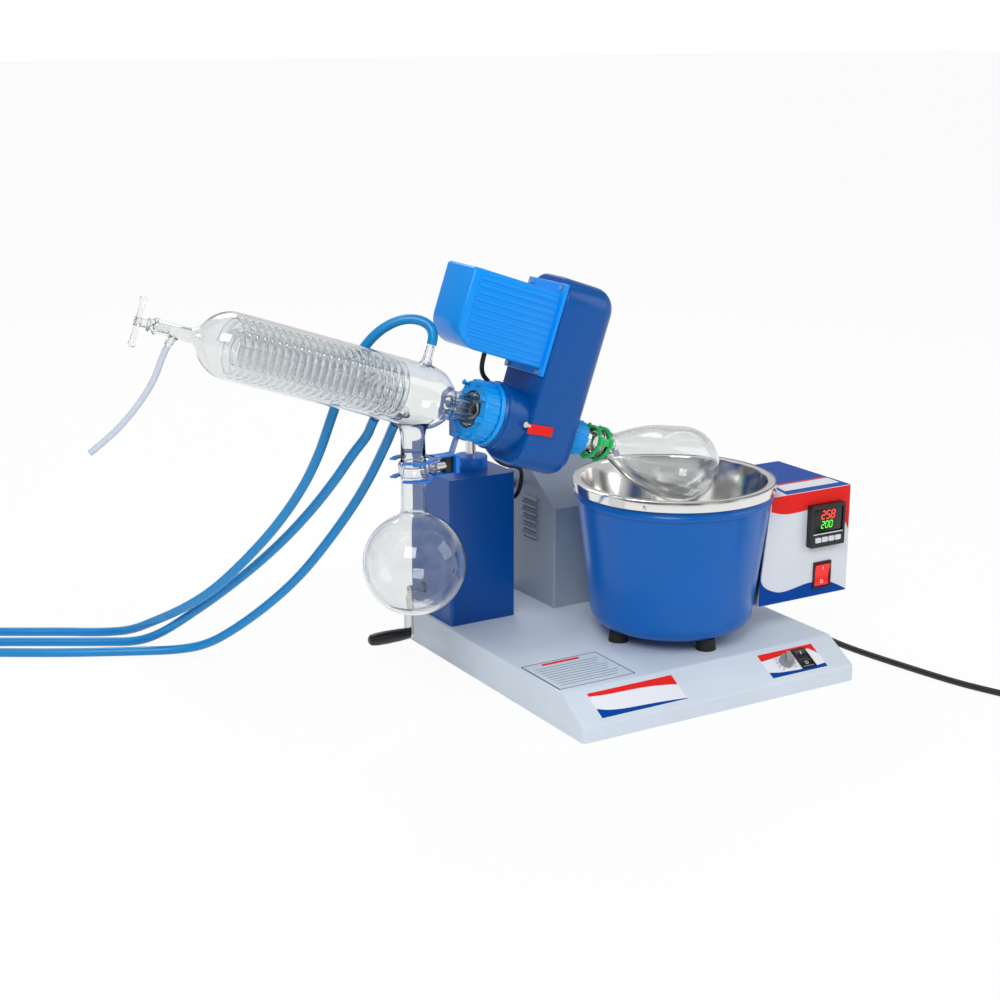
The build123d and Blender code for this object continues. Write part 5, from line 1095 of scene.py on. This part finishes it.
film("panel_red_wave", ON_BOX_FACE, band(194.4, 118.6, [
    (118.0, 178.4), (130, 174.5), (142, 172.8), (156, 173), (170, 174.5), (190, 173), (208, 171),
    (218, 163), (225, 152), (229.4, 143)], 229.4, 3), label_red, "red_plastic")
film("panel_blue_wave", ON_BOX_FACE, band(72.6, 104.6, [
    (105.6, 107), (109, 96), (119, 89), (133, 84), (146, 84.5), (158, 86.5), (172, 89), (190, 89),
    (203, 86.5), (214, 82), (229.4, 73.6)], 229.4, 3), label_blue, "light_blue")
ON_BOX_TOP = place(Vector((0, 0, 0.195)), X_AXIS, BACK, Z_AXIS)
film("box_top_blue", ON_BOX_TOP, [(139, -111.4), (229.4, -111.4), (229.4, 13.4), (144, 13.4), (150, -10),
                                  (152, -35), (150, -60), (145, -85)], label_blue, "light_blue")
film("box_top_band", ON_BOX_TOP, [(146, -99), (224, -99), (226, -77), (151, -77)], panel_white,
     "panel_paint", 0.3)
film("box_top_band_edge", ON_BOX_TOP, [(151, -76.6), (226, -76.6), (226.4, -72.6), (150.6, -72.6)],
     label_red, "red_plastic", 0.3)


# Controller: its window, two rows of figures and a printed band
SEGMENTS = {"0": "abcdef", "2": "abged", "5": "afgcd", "8": "abcdefg"}
SEGMENT_PLACES = {
    "a": (0.5, 1.0, False), "g": (0.5, 0.5, False), "d": (0.5, 0.0, False), "f": (0.0, 0.75, True),
    "b": (1.0, 0.75, True), "e": (0.0, 0.25, True), "c": (1.0, 0.25, True)}


def digits_form(text, left, base, height):
    """Seven-segment digits, leaning a little, in panel millimetres."""
    form = bmesh.new()
    width = height * 0.5
    thick = height * 0.12
    for index, digit in enumerate(text):
        for segment in SEGMENTS[digit]:
            across, up, stands = SEGMENT_PLACES[segment]
            x = left + index * width * 1.55 + across * width + up * height * 0.12
            z = base + up * height
            size = (thick, height * 0.4, 0.3) if stands else (width * 0.8, thick, 0.3)
            block(form, (x, z, 0), size)
    return form


def on_panel(depth):
    """Millimetres on an upright face of the control box, at a depth in metres."""
    return place(Vector((0, -depth, 0)), X_AXIS, Z_AXIS, -BACK)


window = bmesh.new()
block(window, (193, 161, 0), (41.4, 26.4, 0.5), 0.2)
piece("controller_window", window, on_panel(0.1187), gloss_black, "frame", slot="black_plastic")
DIGIT_FACE = on_panel(0.1191)
piece("controller_red_digits", digits_form("258", 183.5, 162.8, 8.8), DIGIT_FACE, digit_red, "frame",
      slot="red_plastic")
piece("controller_green_digits", digits_form("200", 183.5, 152.4, 7.4), DIGIT_FACE, digit_green, "frame",
      slot="green_plastic")
plate("controller_band", on_panel(0.120), (193, 146.2), (42, 1.0), key_print, "key_grey", 0.1, 0.3, 0.0)


def rocker_marks(name, where, centre, reach, body):
    """A bar at the rocker's upper end and a ring at its lower end."""
    marks = bmesh.new()
    block(marks, (centre[0], centre[1] + reach, 2.75), (0.9, 3.6, 0.5), turn=tilted("X", 13))
    ring = spun([(-0.15, 1.5), (0.15, 1.5), (0.15, 2.1), (-0.15, 2.1)], closed=True, steps=24)
    ring.transform(Matrix.Translation((centre[0], centre[1] - reach, 1.1)) @ tilted("Y", 90))
    join(marks, ring)
    piece(name, marks, where, key_print, body, slot="key_grey")


rocker_marks("base_rocker_marks", ON_SLOPE, (121, 0), 6.5, "main_rocker")
rocker_marks("heater_rocker_marks", ON_BOX_FACE, (193, 96), 8.0, "heater_rocker")

# Power box louvres: a pressed lip above each slot
LOUVRE_PITCH = 9.0
louvres = bmesh.new()
for louvre in range(6):
    rise = 137.7 + (louvre - 2.5) * LOUVRE_PITCH
    lip = round_bar(louvres, (0, 117, rise), (0, 149, rise), 2.6, 16)
    bmesh.ops.scale(louvres, vec=(1.1, 1, 1), verts=lip)
piece("power_box_louvres", louvres, place(Vector((-0.038, 0, 0)), X_AXIS, BACK, Z_AXIS), box_paint, "frame",
      slot="box_paint", sharp=40)
# A black sheet behind the lips is painted shade: it darkens the slots as the shade inside the box would.
slot_shade_sheet = bmesh.new()
block(slot_shade_sheet, (-34.8, 133, 135), (0.8, 40, 60))
piece("louvre_painted_shade", slot_shade_sheet, ON_TABLE, black_plastic, "frame", slot="black_plastic")

# Red tag on the boss
tag_turn = tilted("Y", -5)
tag = bmesh.new()
block(tag, (60, -38.2, -1), (30, 1.0, 10), 0.4, 1, tag_turn)
piece("boss_tag", tag, ON_AXIS, label_red, "lift", slot="red_plastic")
tag_screw = bmesh.new()
round_bar(tag_screw, (41, -33.0, 1), (41, -37.2, 1), 1.8)
round_bar(tag_screw, (41, -37.0, 1), (41, -39.4, 1), 3.2, 6)
block(tag_screw, (44.5, -38.4, 0.6), (6, 0.7, 2.6), 0.2, 1, tag_turn)
piece("boss_tag_screw", tag_screw, ON_AXIS, plate_steel, "lift", slot="steel")

# Studio: pale floor, camera at the photograph's place and soft lamps
floor_form = bmesh.new()
bmesh.ops.create_grid(floor_form, x_segments=1, y_segments=1, size=30.0)
floor_mesh = bpy.data.meshes.new("floor")
floor_form.to_mesh(floor_mesh)
floor_form.free()
floor = stand("floor", floor_mesh)
floor.location = (0, 0, -0.0005)
floor_finish = Finish("studio floor", (0.95, 0.955, 0.96, 1), 0.6)
FLOOR_WHITE = 0.92
camera_ray, glossy_ray, glass_ray = (
    floor_finish.node("ShaderNodeLightPath", {}, {}, f"Is {kind} Ray")
    for kind in ("Camera", "Glossy", "Transmission"))
shown = floor_finish.node("ShaderNodeMath", {"operation": "MULTIPLY", "use_clamp": True}, {
    0: camera_ray + glossy_ray + glass_ray, 1: FLOOR_WHITE})
white = floor_finish.node("ShaderNodeEmission", {}, {"Color": (1, 1, 1, 1), "Strength": 1.0})
plain_floor = Link(floor_finish, floor_finish.shader.outputs[0])
floor_finish.show("Material Output", floor_finish.node("ShaderNodeMixShader", {}, {
    0: shown, 1: plain_floor, 2: white}))
floor_mesh.materials.append(floor_finish.material)
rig.stage(floor)

world = bpy.data.worlds.new("studio")
bpy.context.scene.world = world
world.use_nodes = True
studio = Shading(world.node_tree)
way = studio.node("ShaderNodeTexCoord", {}, {}, "Generated")
upward = studio.node("ShaderNodeSeparateXYZ", {}, {0: way}, "Z") * 0.5 + 0.5
softboxes = studio.node("ShaderNodeTexNoise", {}, {"Vector": way, "Scale": 1.7, "Detail": 1.0})
patches = studio.node("ShaderNodeValToRGB", {"stops": [(0.42, 0.3), (0.54, 1.3)]}, {0: softboxes})
levels = studio.node("ShaderNodeValToRGB", {
    "stops": [(0.0, 0.85), (0.48, 0.7), (0.56, 0.42), (0.72, 0.5), (0.9, 1.0)]}, {0: upward})
around = studio.node("ShaderNodeMix", {"data_type": "RGBA", "blend_type": "MULTIPLY"}, {
    0: 1.0, 6: levels, 7: patches}, 2)
behind = studio.node("ShaderNodeValToRGB", {
    "stops": [(0.0, 0.9), (0.5, 1.0), (0.6, 0.9), (0.68, 0.3), (1.0, 0.45)]}, {0: upward})
through = studio.node("ShaderNodeLightPath", {}, {}, "Is Transmission Ray")
seen = studio.node("ShaderNodeLightPath", {}, {}, "Is Camera Ray")
lit = studio.node("ShaderNodeBackground", {}, {"Color": around, "Strength": 1.0})
through_glass = studio.node("ShaderNodeBackground", {}, {"Color": behind, "Strength": 1.0})
plain = studio.node("ShaderNodeBackground", {}, {"Color": (1, 1, 1, 1), "Strength": 1.0})
lit_or_through = studio.node("ShaderNodeMixShader", {}, {0: through, 1: lit, 2: through_glass})
studio.show("World Output", studio.node("ShaderNodeMixShader", {}, {0: seen, 1: lit_or_through, 2: plain}))


LAMP_TARGET = Vector((0, 0, 0.2))


def lamp(name, position, size, power):
    """A soft square lamp that looks at the machine."""
    light = bpy.data.lights.new(name, "AREA")
    light.size = size
    light.energy = power
    shape = stand(name, light)
    shape.location = position
    shape.rotation_euler = (LAMP_TARGET - Vector(position)).to_track_quat("-Z", "Y").to_euler()


lamp("key", (-1.6, -1.7, 2.0), 1.2, 34)
lamp("fill", (1.9, -1.4, 1.3), 1.4, 10)
lamp("rim", (0.2, 1.8, 2.2), 1.2, 16)

CAMERA_PLACE = Vector((-1.08944, -1.5624, 0.69416))
heading = radians(-30.8)
pitch = radians(15.07)
right = Vector((cos(heading), sin(heading), 0))
backward = Vector((sin(heading) * cos(pitch), -cos(heading) * cos(pitch), sin(pitch)))
camera = bpy.data.cameras.new("camera")
camera.lens = 64.19
camera.sensor_width = 36
camera.clip_end = 50
camera_object = stand("camera", camera)
camera_object.matrix_world = place(CAMERA_PLACE, right, backward.cross(right), backward, 1.0)
bpy.context.scene.camera = camera_object
bpy.context.scene.view_settings.view_transform = "Standard"

model_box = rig.bounds()
with open("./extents.json", "w") as size_file:
    json.dump({"cad": [list(corner) for corner in cad_box],
               "scene": [list(corner) for corner in model_box]}, size_file)
